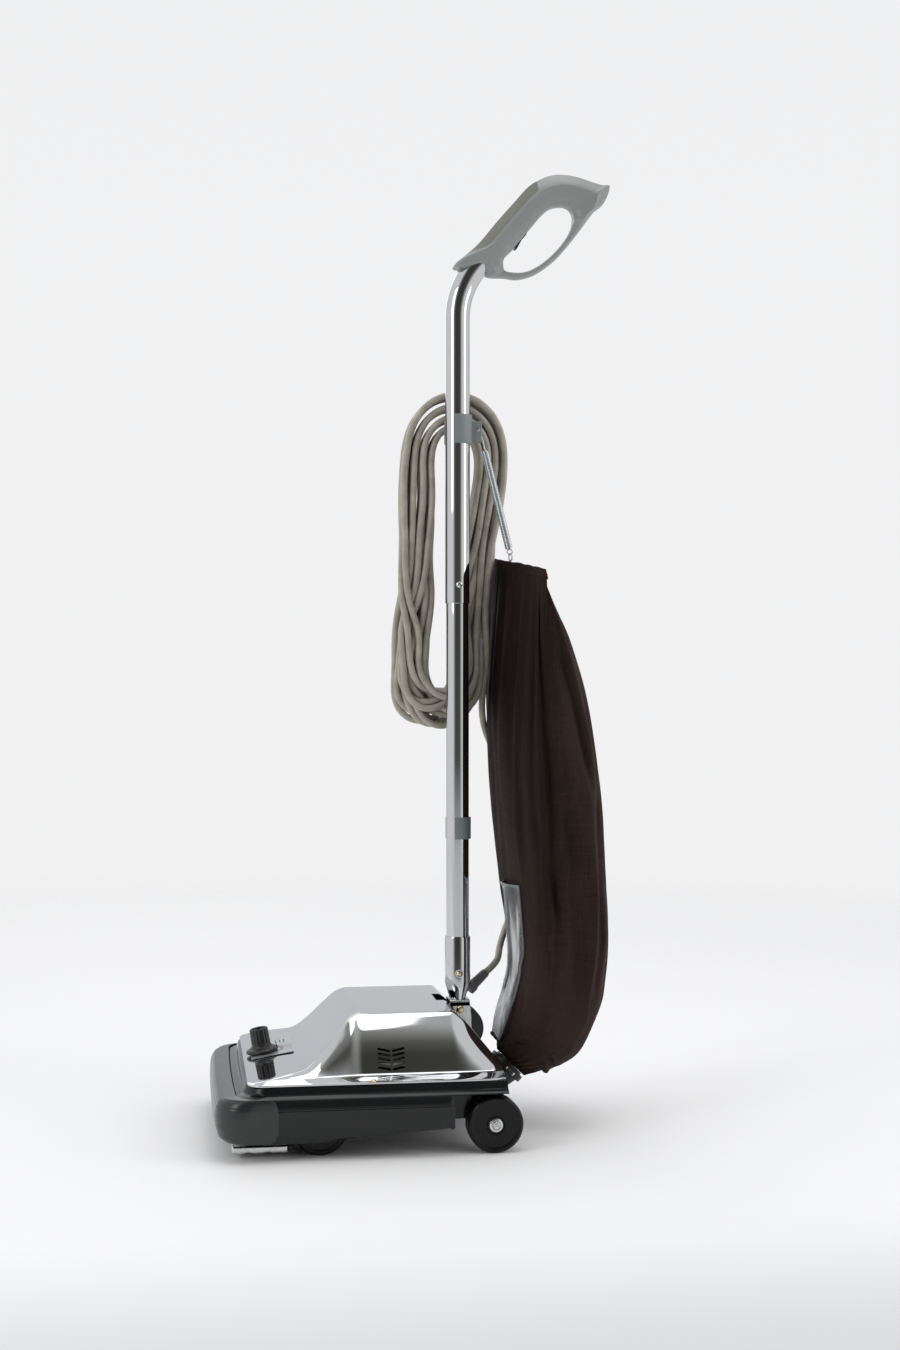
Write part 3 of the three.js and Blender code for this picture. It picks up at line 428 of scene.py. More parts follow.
# ---- materials, one for each of the record's slots ----
class Nodes:
    """Adds shader nodes to a new material, or to a new world, and joins them."""

    def __init__(self, name, among=bpy.data.materials):
        self.owner = among.new(name)
        self.owner.use_nodes = True
        self.tree = self.owner.node_tree
        self.shader = self.tree.nodes.get("Principled BSDF") or self.tree.nodes["Background"]
        self.place = self.add("ShaderNodeTexCoord").outputs["Object"]

    def add(self, kind, inputs=None, **settings):
        node = self.tree.nodes.new(kind)
        for key, value in settings.items():
            setattr(node, key, value)
        for key, value in (inputs or {}).items():
            if isinstance(value, bpy.types.NodeSocket):
                self.tree.links.new(value, node.inputs[key])
            else:
                node.inputs[key].default_value = value
        return node

    def noise(self, scale, detail=3.0, stretch=(1, 1, 1), rough=0.5):
        place = self.add("ShaderNodeMapping", {"Vector": self.place, "Scale": stretch}).outputs[0]
        settings = {"Vector": place, "Scale": scale, "Detail": detail, "Roughness": rough}
        return self.add("ShaderNodeTexNoise", settings).outputs["Fac"]

    def range(self, value, low, high, start=0.3, end=0.7):
        settings = {"Value": value, "From Min": start, "From Max": end, "To Min": low, "To Max": high}
        return self.add("ShaderNodeMapRange", settings).outputs[0]

    def smooth(self, value, start, end):
        settings = {"Value": value, "From Min": start, "From Max": end}
        return self.add("ShaderNodeMapRange", settings, interpolation_type="SMOOTHSTEP").outputs[0]

    def blend(self, share, first, second):
        return self.add("ShaderNodeMix", {0: share, 6: first, 7: second}, data_type="RGBA").outputs[2]

    def colours(self, fac, *stops):
        ramp = self.add("ShaderNodeValToRGB", {"Fac": fac})
        band = ramp.color_ramp
        while len(band.elements) < len(stops):
            band.elements.new(0.5)
        for element, (place, colour) in zip(band.elements, stops):
            element.position, element.color = place, (*colour, 1)
        return ramp.outputs["Color"]

    def math(self, what, a, b=0.0):
        node = self.add("ShaderNodeMath", operation=what)
        for socket, value in zip(node.inputs, (a, b)):
            if isinstance(value, bpy.types.NodeSocket):
                self.tree.links.new(value, socket)
            else:
                socket.default_value = value
        return node.outputs[0]

    def bump(self, height, strength, distance):
        settings = {"Height": height, "Strength": strength, "Distance": distance * 0.001}
        return self.add("ShaderNodeBump", settings).outputs["Normal"]

    def set(self, **values):
        for key, value in values.items():
            name = key.replace("_", " ")
            if isinstance(value, bpy.types.NodeSocket):
                self.tree.links.new(value, self.shader.inputs[name])
            else:
                self.shader.inputs[name].default_value = value
        return self.owner


def shade(colour, factor):
    return tuple(min(1, c * factor) for c in colour)


def moulded(name, colour, roughness, grain=1.0, scale=900, mottle=0.12, gloss=0.5):
    """Moulded plastic or rubber: a fine grain, slightly uneven colour and rubbed, shinier patches."""
    n = Nodes(name)
    patches = n.noise(14, 4)
    fine = n.noise(scale, 2)
    colours = n.colours(patches, (0.3, shade(colour, 1 - mottle)), (0.72, shade(colour, 1 + mottle)))
    rough = n.range(n.noise(30, 5), roughness * 0.88, min(1, roughness * 1.12))
    relief = n.bump(fine, 0.25 * grain, 0.12)
    return n.set(Base_Color=colours, Roughness=rough, Normal=relief, Specular_IOR_Level=gloss)


def metal(name, colour, roughness, brush=0.0, mottle=0.06, wear=0.25):
    """A metal with faint smudges and, with brush, fine lines along the piece's height."""
    n = Nodes(name)
    patches = n.noise(9, 4)
    colours = n.colours(patches, (0.3, shade(colour, 1 - mottle)), (0.7, shade(colour, 1 + mottle)))
    rough = n.range(n.noise(26, 6, rough=0.6), roughness, roughness * (1 + wear) + 0.01, 0.35, 0.75)
    lines = n.noise(600, 2, stretch=(1, 1, 0.06) if brush else (1, 1, 1))
    return n.set(Base_Color=colours, Roughness=rough, Metallic=1.0, Normal=n.bump(lines, 0.05 + brush, 0.02))


def cloth_material():
    """Fine brown-black woven cloth: threads both ways, slubs, and a soft sheen."""
    n = Nodes("bag_cloth")
    broad = n.noise(6, 4, stretch=(1, 1, 0.45))
    slub_up = n.noise(420, 3, stretch=(1, 1, 0.09))
    slub_across = n.noise(420, 3, stretch=(0.09, 0.09, 1))
    weave = n.math("ADD", n.math("MULTIPLY", slub_up, 0.55), n.math("MULTIPLY", slub_across, 0.45))
    crinkle = n.noise(85, 5, stretch=(1, 1, 0.55), rough=0.6)
    relief = n.math("ADD", n.math("MULTIPLY", weave, 0.3), crinkle)
    tone = n.math("ADD", n.math("MULTIPLY", broad, 0.72), n.math("MULTIPLY", weave, 0.28))
    colours = n.colours(
        tone, (0.36, (0.007, 0.0034, 0.0028)), (0.5, (0.0185, 0.0098, 0.0084)), (0.64, (0.040, 0.0232, 0.0198))
    )
    rough = n.range(weave, 0.62, 0.85)
    return n.set(
        Base_Color=colours, Roughness=rough, Normal=n.bump(relief, 0.55, 1.3), Sheen_Weight=0.025, Sheen_Roughness=0.4,
        Sheen_Tint=(0.9, 0.66, 0.58, 1), Specular_IOR_Level=0.1,
    )


def vinyl_material():
    """Clear, slightly clouded, creased vinyl: glossy, see-through where it is thin, with painted highlight streaks and
    painted shade streaks along each crease.
    """
    n = Nodes("clear_vinyl")
    creases_and_painted_streaks = n.noise(46, 4, stretch=(1, 1, 0.12), rough=0.55)
    cloud = n.noise(18, 3, stretch=(1, 1, 0.3))
    # Painted highlights and painted shade: the colour runs from dark grey to near white along the crease lines, over
    # the vinyl's pale grey.
    colours = n.colours(creases_and_painted_streaks, (0.4, (0.42, 0.435, 0.46)), (0.5, (0.8, 0.81, 0.83)), (0.6, (0.97, 0.975, 0.98)))
    return n.set(
        Base_Color=colours, Roughness=n.range(cloud, 0.05, 0.14), Normal=n.bump(creases_and_painted_streaks, 1.0, 11.0),
        Alpha=n.range(creases_and_painted_streaks, 0.16, 0.88, 0.4, 0.6), Specular_IOR_Level=0.8,
    )


def cord_material():
    """A grey-taupe rubber jacket, slightly dusty, with faint streaks."""
    n = Nodes("cord_jacket")
    streaks = n.noise(60, 5)
    dust = n.noise(700, 2)
    colours = n.colours(streaks, (0.3, (0.345, 0.318, 0.262)), (0.7, (0.51, 0.48, 0.405)))
    return n.set(Base_Color=colours, Roughness=n.range(streaks, 0.36, 0.55), Normal=n.bump(dust, 0.2, 0.15))


def grip_grain():
    """The grip's rubbery insert: a close leathery grain."""
    n = Nodes("grip_insert")
    cells = n.add("ShaderNodeTexVoronoi", {"Vector": n.place, "Scale": 900.0}).outputs["Distance"]
    patches = n.noise(20, 4)
    colours = n.colours(patches, (0.3, (0.165, 0.163, 0.145)), (0.7, (0.225, 0.222, 0.198)))
    return n.set(Base_Color=colours, Roughness=n.range(cells, 0.45, 0.7, 0.0, 0.6), Normal=n.bump(cells, 0.6, 0.3))


MATERIALS = {
    "chrome": metal("chrome", (0.585, 0.59, 0.6), 0.03, wear=0.5, mottle=0.015),
    "zinc": metal("zinc", (0.66, 0.67, 0.66), 0.24, brush=0.2),
    "steel": metal("steel", (0.44, 0.44, 0.45), 0.33, brush=0.3, mottle=0.15),
    "brass": metal("brass", (0.78, 0.62, 0.38), 0.22, mottle=0.12),
    "copper_winding": metal("copper_winding", (0.62, 0.3, 0.16), 0.35, brush=0.5, mottle=0.2),
    "housing_plastic": moulded("housing_plastic", (0.0112, 0.0119, 0.0127), 0.17, grain=0.25, mottle=0.04, gloss=0.34),
    "black_plastic": moulded("black_plastic", (0.014, 0.0135, 0.013), 0.36, grain=0.7),
    "wheel_plastic": moulded("wheel_plastic", (0.0042, 0.0042, 0.0042), 0.3, grain=0.8, mottle=0.2, gloss=0.25),
    "rubber": moulded("rubber", (0.012, 0.012, 0.012), 0.7, scale=600),
    "grey_plastic": moulded("grey_plastic", (0.205, 0.235, 0.235), 0.4, grain=0.8, mottle=0.05),
    "carbon": moulded("carbon", (0.02, 0.02, 0.022), 0.6),
    "grip_insert": grip_grain(),
    "cord_jacket": cord_material(),
    "cloth": cloth_material(),
    "clear_vinyl": vinyl_material(),
}


def dress(made, slot, material=None):
    made.data.materials.clear()
    made.data.materials.append(material or MATERIALS[slot])


def piece(made, body, slot, nodes=(), material=None):
    """Gives a piece its body and its finish, the slot's material unless another is given, and hides the CAD nodes that
    it stands for.
    """
    dress(made, slot, material)
    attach(made, body)
    if nodes:
        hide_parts(*nodes)
    return made


def part(name, shape, body, slot, nodes=(), material=None, sharp=35, edge=0, steps=3):
    """A piece from a shape's points and faces, with its edges rounded by that many millimetres."""
    made = mesh_object(name, *shape, sharp=sharp)
    if edge:
        bevel(made, edge, steps)
    return piece(made, body, slot, nodes, material)


# ---- tubes, socket and screws ----
TUBE_R, UPPER_R, SOCKET_R = 14.2, 15.4, 16.0
BEND_Z, BEND_R, BEND_ANGLE = 1002, 100, 0.78
SCREW_SLOT = 0.6


def handle_line(z, extra):
    """The upper tube's centre line, straight and then bent towards the user."""
    line = [(0, 0, w) for w in np.linspace(z, BEND_Z, 12)]
    for a in np.linspace(0, BEND_ANGLE, 25)[1:]:
        line.append((0, BEND_R * (1 - math.cos(a)), BEND_Z + BEND_R * math.sin(a)))
    y, w = line[-1][1:]
    a = BEND_ANGLE
    return line + [(0, y + e * math.sin(a), w + e * math.cos(a)) for e in np.linspace(0, extra, 3)[1:]]


def screw(name, centre, axis, r, height, body, slot, nodes):
    """A round-headed screw with a slot across its head."""
    head = [(0, height), (r * 0.55, height * 0.94), (r * 0.92, height * 0.5), (r, 0.1), (r * 0.9, -0.4)]
    made = mesh_object(name, *revolve([*rounded(head, 0.3), (0, -0.4)], centre, axis, 32))
    side, up, along = frame_of(axis)
    low, high = height - SCREW_SLOT, height + 1
    corner = lambda a, b, c: np.array(centre) + side * a * r * 1.3 + up * b * r * 0.13 + along * c
    carve(made, loft([[corner(s, -1, low), corner(s, 1, low), corner(s, 1, high), corner(s, -1, high)] for s in (-1, 1)]))
    return piece(made, body, slot, nodes)


def make_tubes():
    lower = revolve(rounded([(13, 178), (TUBE_R, 178), (TUBE_R, 704), (13, 704)], 0.4), sides=96)
    part("lower_handle_tube", lower, "handle", "chrome", ["lower_tube"])
    line = handle_line(646, 2)
    made = mesh_object("upper_handle_tube", *tube_along([(0, 0, 646.01), *line[1:]], UPPER_R, 96, caps=False))
    mod = made.modifiers.new("wall", "SOLIDIFY")
    mod.thickness, mod.offset = 0.0009, -1
    applied(made)
    bevel(made, 0.35, 2)
    piece(made, "handle", "chrome", ["upper_tube"])
    socket = [
        (9, 154.3), (12.7, 154.3), (13.2, 158), (14.6, 164), (15.7, 170.5), (SOCKET_R, 176), (SOCKET_R, 230.6),
        (SOCKET_R - 0.5, 231.7), (TUBE_R + 0.1, 232), (TUBE_R + 0.1, 176), (9, 154.3),
    ]
    made = mesh_object("handle_tube_socket", *revolve(socket, sides=96), sharp=40)
    # The socket's foot is pinched flat at the sides, as a pressed tube end is.
    for v in made.data.vertices:
        pinch = max(0, min(1, (176 - v.co.z * 1000) / 22))
        v.co.x *= 1 + 0.16 * pinch
        v.co.y = TUBE_Y * 0.001 + (v.co.y - TUBE_Y * 0.001) * (1 - 0.2 * pinch)
    piece(made, "handle", "chrome", ["handle_socket"])
    screw("socket_tube_screw", (SOCKET_R + 0.1, 0, 187), (1, 0, 0), 3.8, 2.1, "handle", "brass", ["socket_screw"])
    washer = rounded([(3.9, 0), (5.4, 0), (5.2, 0.9), (3.9, 0.9), (3.9, 0)], 0.2)
    part("socket_screw_washer", revolve(washer, (SOCKET_R - 0.5, 0, 187), (1, 0, 0), 32), "handle", "chrome")
    screw("joint_tube_screw", (UPPER_R + 0.1, 0, 669), (1, 0, 0), 3.8, 2.1, "handle", "zinc", ["tube_screw"])


make_tubes()


# ---- hood ----
DECK_Z, PLATEAU_Z, GAP = 84.0, 156.0, 0.3
SHEET = 1.6  # the hood's thickness
KNOB = {"x": -5, "y": -242, "z": 91.3, "tilt": 0.17}
# y, top height, half-width at the top, at the foot and at the flange, and the ridge's rounding
HOOD = [
    (-266, 87, 136, 140, 144, 2), (-264, 87.6, 140.5, 144.5, 148, 2.5), (-261, 88, 146, 149, 153, 3),
    (-250, 89.9, 149, 152.5, 158, 3.5), (-222, 94.7, 142, 151, 158, 4), (-200, 98.6, 134, 149, 158, 5),
    (-191, 104, 129, 148, 158, 6), (-180, 114, 123, 146, 158, 7), (-158, 138, 108, 143, 158, 8),
    (-143, 152, 99, 141, 158, 9), (-131, PLATEAU_Z, 95, 140, 158, 9), (-22, PLATEAU_Z, 95, 140, 158, 9),
    (-12, 150, 98, 140, 158, 9), (16, 118, 107, 140, 157, 8), (34, 96, 116, 138, 152, 5),
]


def hood_ring(top, w_top, w_foot, w_flange, r, inset, y_at):
    """The hood's section from flange to flange: a rolled flange, a concave foot, a bulged facet, a round ridge."""
    low = DECK_Z + GAP - (4 if inset else 0)
    flange, foot = DECK_Z + 2.1 - inset, max(DECK_Z + 2.5, min(top - 0.8, 91)) - inset
    ridge = top - inset - 0.35
    tall, wide = ridge - foot, w_foot - w_top
    run = [
        (w_flange - inset, low), (w_flange - inset, flange), (w_foot - inset, foot),
        (mix(w_foot, w_top, 0.5) - inset + 0.06 * tall, foot + 0.5 * tall + 0.06 * wide),
        (w_top - inset, ridge), (0, top - inset),
    ]
    corners = [rounded(run[i - 1 : i + 2], radius, 8)[1:-1] for i, radius in ((1, 0.7), (2, 7.0), (3, 900), (4, r))]
    half = [run[0]]
    for corner, steps in zip([*corners, [run[5]]], (2, 3, 3, 4, 10)):
        start, end = np.array(half[-1]), np.array(corner[0])
        half += [tuple(mix(start, end, t)) for t in np.linspace(0, 1, steps, endpoint=False)[1:]] + corner
    return [(u, y_at, v) for u, v in half + [(-u, v) for u, v in reversed(half[:-1])]]


def hood_shape(inset):
    stations = np.array(HOOD, float)
    ys = np.unique(np.concatenate([
        np.linspace(-266, -250, 9), np.linspace(-250, -200, 12), np.linspace(-200, -128, 34),
        np.linspace(-128, -24, 20), np.linspace(-24, 34, 26),
    ]))
    columns = [pchip(stations[:, 0], stations[:, k], ys) for k in range(1, 6)]
    places = ys.copy()
    places[0] += inset
    places[-1] -= inset
    return loft([hood_ring(*row, inset, at) for *row, at in zip(*columns, places)])


def louvre(side, y, z, slant):
    """One slanted slot through a side of the hood, with round ends."""
    outline = rounded([(-7.6, -1.25), (7.6, -1.25), (7.6, 1.25), (-7.6, 1.25)], 1.2, 3, closed=True)
    c, s = math.cos(slant), math.sin(slant)
    return prism(outline, side * 104, side * 144, lambda u, v, w: (w, y + u * c - v * s, z + u * s + v * c))


def make_hood():
    made = mesh_object("plated_hood", *hood_shape(0), sharp=50)
    slots = [
        louvre(side, y, 97.5 + row * 4.9, slant)
        for side in (1, -1) for row in range(5) for y, slant in ((-106.5, -0.2), (-89.5, 0.2))
    ]
    hole = revolve([(0, 70), (5.5, 70), (5.5, 110), (0, 110)], (KNOB["x"], KNOB["y"], 0), sides=24)
    arch = rounded([(-30, 99), (-30, 200), (60, 200), (60, 99)], 4, closed=True)
    carve(made, hood_shape(SHEET), sharp=50)
    carve(made, *slots, hole, side_prism(arch, -23, 23), sharp=50)
    piece(made, "base", "chrome", ["hood"])
    for side, name in SIDES:
        place, axis = (side * 154.4, -121, DECK_Z + 3.2), (side * math.sin(0.245), 0, math.cos(0.245))
        screw(f"hood_flange_screw_{name}", place, axis, 3.2, 1.6, "base", "brass", [f"hood_screw_{name}"])


make_hood()


# ---- base housing, bumper, nozzle plate ----
BASE_HALF, SEAM_Y, DECK_REAR_Y = 170, -284, 36


def plan(half, front, corner, bow, rear):
    """The base seen from above, from the rear left round the front to the rear right."""
    side = [(half, mix(rear, front + corner, t)) for t in np.linspace(0, 1, 16)[:-1]]
    for a in np.linspace(0, PI / 2, 13):
        side.append((half - corner + corner * math.cos(a), front + corner - corner * math.sin(a)))
    reach = half - corner
    side += [(reach * t, front - bow * (1 - t * t)) for t in (0.85, 0.7, 0.55, 0.4, 0.25, 0.12)]
    return [*side, (0, front - bow), *[(-x, y) for x, y in reversed(side)]]


# The bumper's section: how far it stands out, and its height from the middle.
BUMPER = [
    (0.2, -24), (8, -24.4), (14.5, -19), (17.6, -7), (18.4, 6), (17.2, 15), (15.9, 17.2), (15.5, 18.6), (12.5, 23),
    (7, 26.4), (-5.5, 27.4),
]
# z, set in at the sides, set in at the front: up the side, over a shoulder with a groove, to the deck's lip
HOUSING = [
    (19, 9, 9), (20.5, 5, 5), (24, 2.4, 2.4), (30, 0.6, 0.4), (40, 0, 0), (52, 0, 0), (57.5, 0.1, 0), (58.3, 1.1, 0.9),
    (59.6, 1.1, 0.9), (60.4, 0.1, 0), (63.5, 0.3, 0.2), (67.5, 1.6, 1.2), (70.6, 3.6, 3.2), (72.8, 6.2, 6.2),
    (74.2, 9, 9.6), (75.4, 11, 12.4), (78, 11.8, 14.4), (82.6, 12.3, 15.6), (83.6, 12.9, 16.4), (DECK_Z, 13.8, 17.4),
]


def make_housing():
    def level(z, side, front, corner=30, rear=DECK_REAR_Y, bow=2):
        return [(x, y, z) for x, y in plan(BASE_HALF - side, SEAM_Y + front, corner, bow, rear)]

    made = mesh_object("base_housing_shell", *loft([level(*row) for row in HOUSING]), sharp=40)
    room = [(-5, 12, 8), (40, 6, 5), (64, 6, 5), (72, 10, 12), (DECK_Z - 3.4, 16.5, 20)]
    inside = loft([level(z, s, f, corner=24, rear=DECK_REAR_Y - 4, bow=0) for z, s, f in room])
    wide = BASE_HALF + 10
    rising = side_prism([(-176, 0), (-176, 20), (-166, 25), (50, 38), (50, 0)], -wide, wide)
    carve(made, inside, sharp=40)
    carve(made, rising, *[side_box(s, 129, wide, (-28, 60), (0, 70)) for s in (1, -1)], sharp=40)
    carve(
        made,
        box_shape((-62, -212.5, 70), (62, -6, 100)),
        revolve([(0, 20), (22, 20), (22, 60), (0, 60)], (0, 0, 60), (0, 1, 0), 32),
        revolve([(0, 60), (6, 60), (6, 100), (0, 100)], (KNOB["x"], KNOB["y"], 0), sides=24),
        sharp=40,
    )
    # On each side, a raised rib in front of the wheel arch, a ledge over it, and its inner wall.
    for s, side in SIDES:
        rib = side_box(s, 165, 170.4, (-33.5, -28.2), (31.5, 70))
        part(f"arch_rib_{side}", rib, "base", "housing_plastic", edge=1.4)
        ledge = side_box(s, 129, 158.5, (-28, DECK_REAR_Y), (70.2, 73))
        part(f"arch_ledge_{side}", ledge, "base", "housing_plastic", edge=1)
        wall = mesh_object(f"arch_wall_{side}", *side_box(s, 125.3, 129, (-30, DECK_REAR_Y), (34, 82)))
        bevel(wall, 1)
        carve(wall, revolve([(0, s * 120), (4.4, s * 120), (4.4, s * 135), (0, s * 135)], (0, 21, 33), (1, 0, 0), 24))
        piece(wall, "base", "housing_plastic")
    piece(made, "base", "housing_plastic", ["base_housing"])


def make_bumper():
    """A soft D-section carried round the front of the housing, with rounded ends at its sides."""
    section = rounded(BUMPER, 6, 4)
    path = [q for q in plan(BASE_HALF - 1, SEAM_Y - GAP, 30, 2, -232) if q[1] <= -231.9]
    path = smooth_line([(x, y, 0) for x, y in path], 4)
    rings, n = [], len(path)
    for i, (x, y, _) in enumerate(path):
        back, ahead = path[max(i - 1, 0)], path[min(i + 1, n - 1)]
        across, along = back[1] - ahead[1], ahead[0] - back[0]
        out = np.array((across, along, 0)) / math.hypot(along, across)
        end = min(i, n - 1 - i) * 4
        cap = math.sqrt(max(0.0, 1 - (1 - min(end, 14) / 14) ** 2)) * 0.999 + 0.001
        middle, wide, tall = np.array((x, y, 46)), (0.12 - 0.88 * out[1]) * (0.25 + 0.75 * cap), 0.55 + 0.45 * cap
        rings.append([middle + out * (1.3 + u * wide) + (0, 0, v * tall) for u, v in section])
    grey = moulded("bumper_plastic", (0.0225, 0.0235, 0.0245), 0.24, grain=0.4, mottle=0.05)
    part("front_bumper_strip", loft(rings), "base", "housing_plastic", ["front_bumper"], grey, sharp=40)


def make_nozzle_plate():
    """A pressed tray round the mouth, its front wall scalloped, and a rubber lip behind it."""
    tray = mesh_object("nozzle_bottom_plate", *box_shape((-148, -284, 6), (148, -220, 15)))
    bevel(tray, 2.2, 4)
    applied(tray)
    cuts = [revolve([(0, -300), (9, -300), (9, -281), (0, -281)], (x, 0, 3.2), (0, 1, 0), 24) for x in range(-120, 121, 48)]
    for s in (1, -1):
        near, far = sorted((s * 140, s * 155))
        for y in (-266, -243):
            cuts.append(revolve([(0, near), (5, near), (5, far), (0, far)], (0, y, 4.8), (1, 0, 0), 20))
    carve(tray, box_shape((-146.4, -282.4, 7.6), (146.4, -221.6, 20)))
    carve(tray, box_shape((-136, -281, 0), (136, -223, 20)), *cuts)
    piece(tray, "base", "zinc", ["bottom_plate"])
    lip = box_shape((-148, -219.7, 6.5), (148, -213.5, 15))
    part("rear_lip_strip", lip, "base", "rubber", ["rear_lip"], edge=1.4)


make_housing()
make_bumper()
make_nozzle_plate()


# ---- wheels ----
WHEEL_BORE = 4.4
CAP_X = 163.2  # where a rear axle's screw starts


def wheel_profile(r, inner, outer):
    """A moulded wheel: flat outer face inside a rounded rim, a fine line round the tread, a dished back."""
    mid, face = (inner + outer) / 2, outer - 1
    return rounded([
        (WHEEL_BORE, inner + 1), (r - 9, inner + 1), (r - 6, inner + 2.4), (r - 2.5, inner), (r, inner + 2.6),
        (r, mid - 0.8), (r - 0.5, mid - 0.4), (r - 0.5, mid + 0.4), (r, mid + 0.8), (r, outer - 2.8),
        (r - 2.6, outer), (r - 5.6, outer - 0.5), (r - 7, face), (r - 9, face), (11, face),
        (10, face - 0.8), (8.4, face - 0.8), (7.6, face), (WHEEL_BORE, face), (WHEEL_BORE, inner + 1),
    ], 1.1, 3)


def make_wheels():
    cap = [
        (0, 0.1), (7.9, 0.1), (7.9, 1.1), (6.4, 1.6), (5.6, 1.7), (5.2, 1.3), (4.7, 1.3), (4.4, 3.3), (3.6, 4.3), (0, 4.6),
    ]
    for s, side in SIDES:
        for end, r, inner, outer, y, sides in (("front", 32, 121, 145, -182, 72), ("rear", 33, 138, 163, 21, 96)):
            shape = revolve([(q, s * d) for q, d in wheel_profile(r, inner, outer)], (0, y, r), (1, 0, 0), sides)
            node = f"{end}_wheel_{side}"
            part(f"{end}_{side}_wheel", shape, f"wheel_{end}_{side}", "wheel_plastic", [node], sharp=32)
        shape = revolve([(r, s * d) for r, d in rounded(cap, 0.5, 3)], (s * CAP_X, 21, 33), (1, 0, 0), 48)
        made = mesh_object(f"axle_screw_{side}", *shape)
        carve(made, side_box(s, CAP_X + 3.6, CAP_X + 7, (17.2, 24.8), (32.4, 33.6)))
        piece(made, body_of(f"wheel_screw_{side}"), "zinc", [f"wheel_screw_{side}"])


make_wheels()


# ---- height knob and its plate, square to the sloping deck ----
MARKS_Z = (1.15, 1.32)


def on_deck(shape):
    """A shape in the knob's own frame, tilted with the deck, in the group's frame."""
    turn = np.array(Matrix.Rotation(KNOB["tilt"], 3, "X"))
    return np.asarray(shape[0], float) @ turn.T + (KNOB["x"], KNOB["y"], KNOB["z"]), shape[1]


def make_knob():
    profile = [
        (0, 8), (4.3, 8), (4.3, 2.2), (19, 2.2), (20, 3.2), (19.6, 5.2), (17.5, 6.6), (13.4, 8.4), (12, 10.5),
        (11.3, 13), (11, 30), (10.6, 31.2), (9.4, 31.4), (8.6, 30.6), (8, 28), (4, 27), (0, 26.8),
    ]
    points, faces = revolve(rounded(profile, 1.2, 3), sides=80)
    r = np.hypot(points[:, 0], points[:, 1])
    rib = np.clip(np.cos(np.arctan2(points[:, 1], points[:, 0]) * 16) * 1.6 - 0.2, -0.6, 0.6)
    grip = (points[:, 2] > 13) & (points[:, 2] < 30.5) & (r > 10)
    points[grip, :2] *= (1 + rib[grip] * 0.055)[:, None]
    part("height_adjuster_knob", on_deck((points, faces)), "knob", "black_plastic", ["height_knob"], sharp=40)
    pointer = box_shape((-1.2, 12, 5.4), (1.2, 19.4, 7.2))
    part("knob_pointer_rib", on_deck(pointer), "knob", "black_plastic", edge=0.5, steps=2)
    plate = rounded([(-60, -15), (30, -15), (30, 37), (-60, 37)], 3, 4, closed=True)
    made = mesh_object("height_scale_plate", *on_deck(prism(plate, 0.55, 1.2, lambda u, v, w: (u, v, w))))
    carve(made, on_deck(revolve([(0, -5), (6, -5), (6, 5), (0, 5)], sides=32)))
    piece(made, "base", "zinc", ["height_plate"], plate_material())
    # Generic marks: a scale of ticks round the skirt, longer at one end, and three plain bars.
    marks = []
    for i in range(7):
        a = math.radians(60 + 12 * i)
        out, across = np.array((math.cos(a), math.sin(a), 0)), np.array((-math.sin(a), math.cos(a), 0))
        start, end, wide = 22.5, 24.5 + 0.7 * i, 0.45 + 0.12 * i
        corners = ((start, -wide), (start, wide), (end, wide), (end, -wide))
        marks.append(loft([[out * d + across * w + (0, 0, z) for d, w in corners] for z in MARKS_Z]))
    for x0, x1, y in ((-54, -34, 28), (-54, -38, 23), (-54, -34, 18)):
        marks.append(box_shape((x0, y, MARKS_Z[0]), (x1, y + 1.6, MARKS_Z[1])))
    part("height_scale_marks", on_deck(join_shapes(*marks)), "base", "black_plastic")


def plate_material():
    """Frosted, pale printed plate."""
    n = Nodes("scale_plate")
    patches = n.noise(30, 4)
    colours = n.colours(patches, (0.3, (0.36, 0.38, 0.39)), (0.7, (0.46, 0.48, 0.49)))
    rough, relief = n.range(patches, 0.2, 0.34), n.bump(n.noise(500, 2), 0.1, 0.1)
    return n.set(Base_Color=colours, Metallic=0.55, Roughness=rough, Normal=relief)


make_knob()


# ---- handle pivot: a block with a drum on the base, and a folded fork under the socket ----
PIVOT = (3, 118)


def make_pivot():
    drum = [
        (0, -13.5), (26.4, -13.5), (28, -12), (28, -9.5), (27, -9), (27, 9), (28, 9.5), (28, 12), (26.4, 13.5), (0, 13.5),
    ]
    centre = (0, *PIVOT)
    drum_shape = revolve(rounded(drum, 0.6, 2), centre, (1, 0, 0), 72)
    foot = [(-24, 84.6), (-24, 143), (-20, 148), (-12, 148.4), (-2, 146), (4, 120), (26, 112), (26, 84.6)]
    block = side_prism(rounded(foot, 3, 4, closed=True), -12.6, 12.6)
    made = mesh_object("pivot_drum", *drum_shape)
    part("pivot_block_body", block, "base", "black_plastic", edge=1.2)
    piece(made, "base", "black_plastic", ["pivot_block"])
    strip = loft([
        [(x, PIVOT[0] + r * math.cos(a), PIVOT[1] + r * math.sin(a)) for r, x in ((28.05, -8), (28.05, 8), (28.7, 8), (28.7, -8))]
        for a in np.radians(np.linspace(205, 285, 22))
    ])
    part("pivot_wear_strip", strip, "base", "zinc")
    pin = [(0, -19.4), (3.6, -19.4), (4.9, -18.6), (4.9, -17.2), (4.9, 17.2), (4.9, 18.6), (3.6, 19.4), (0, 19.4)]
    shape = revolve(rounded(pin, 0.5, 2), centre, (1, 0, 0), 32)
    part("recline_pin", shape, body_of("pivot_pin"), "steel", ["pivot_pin"])


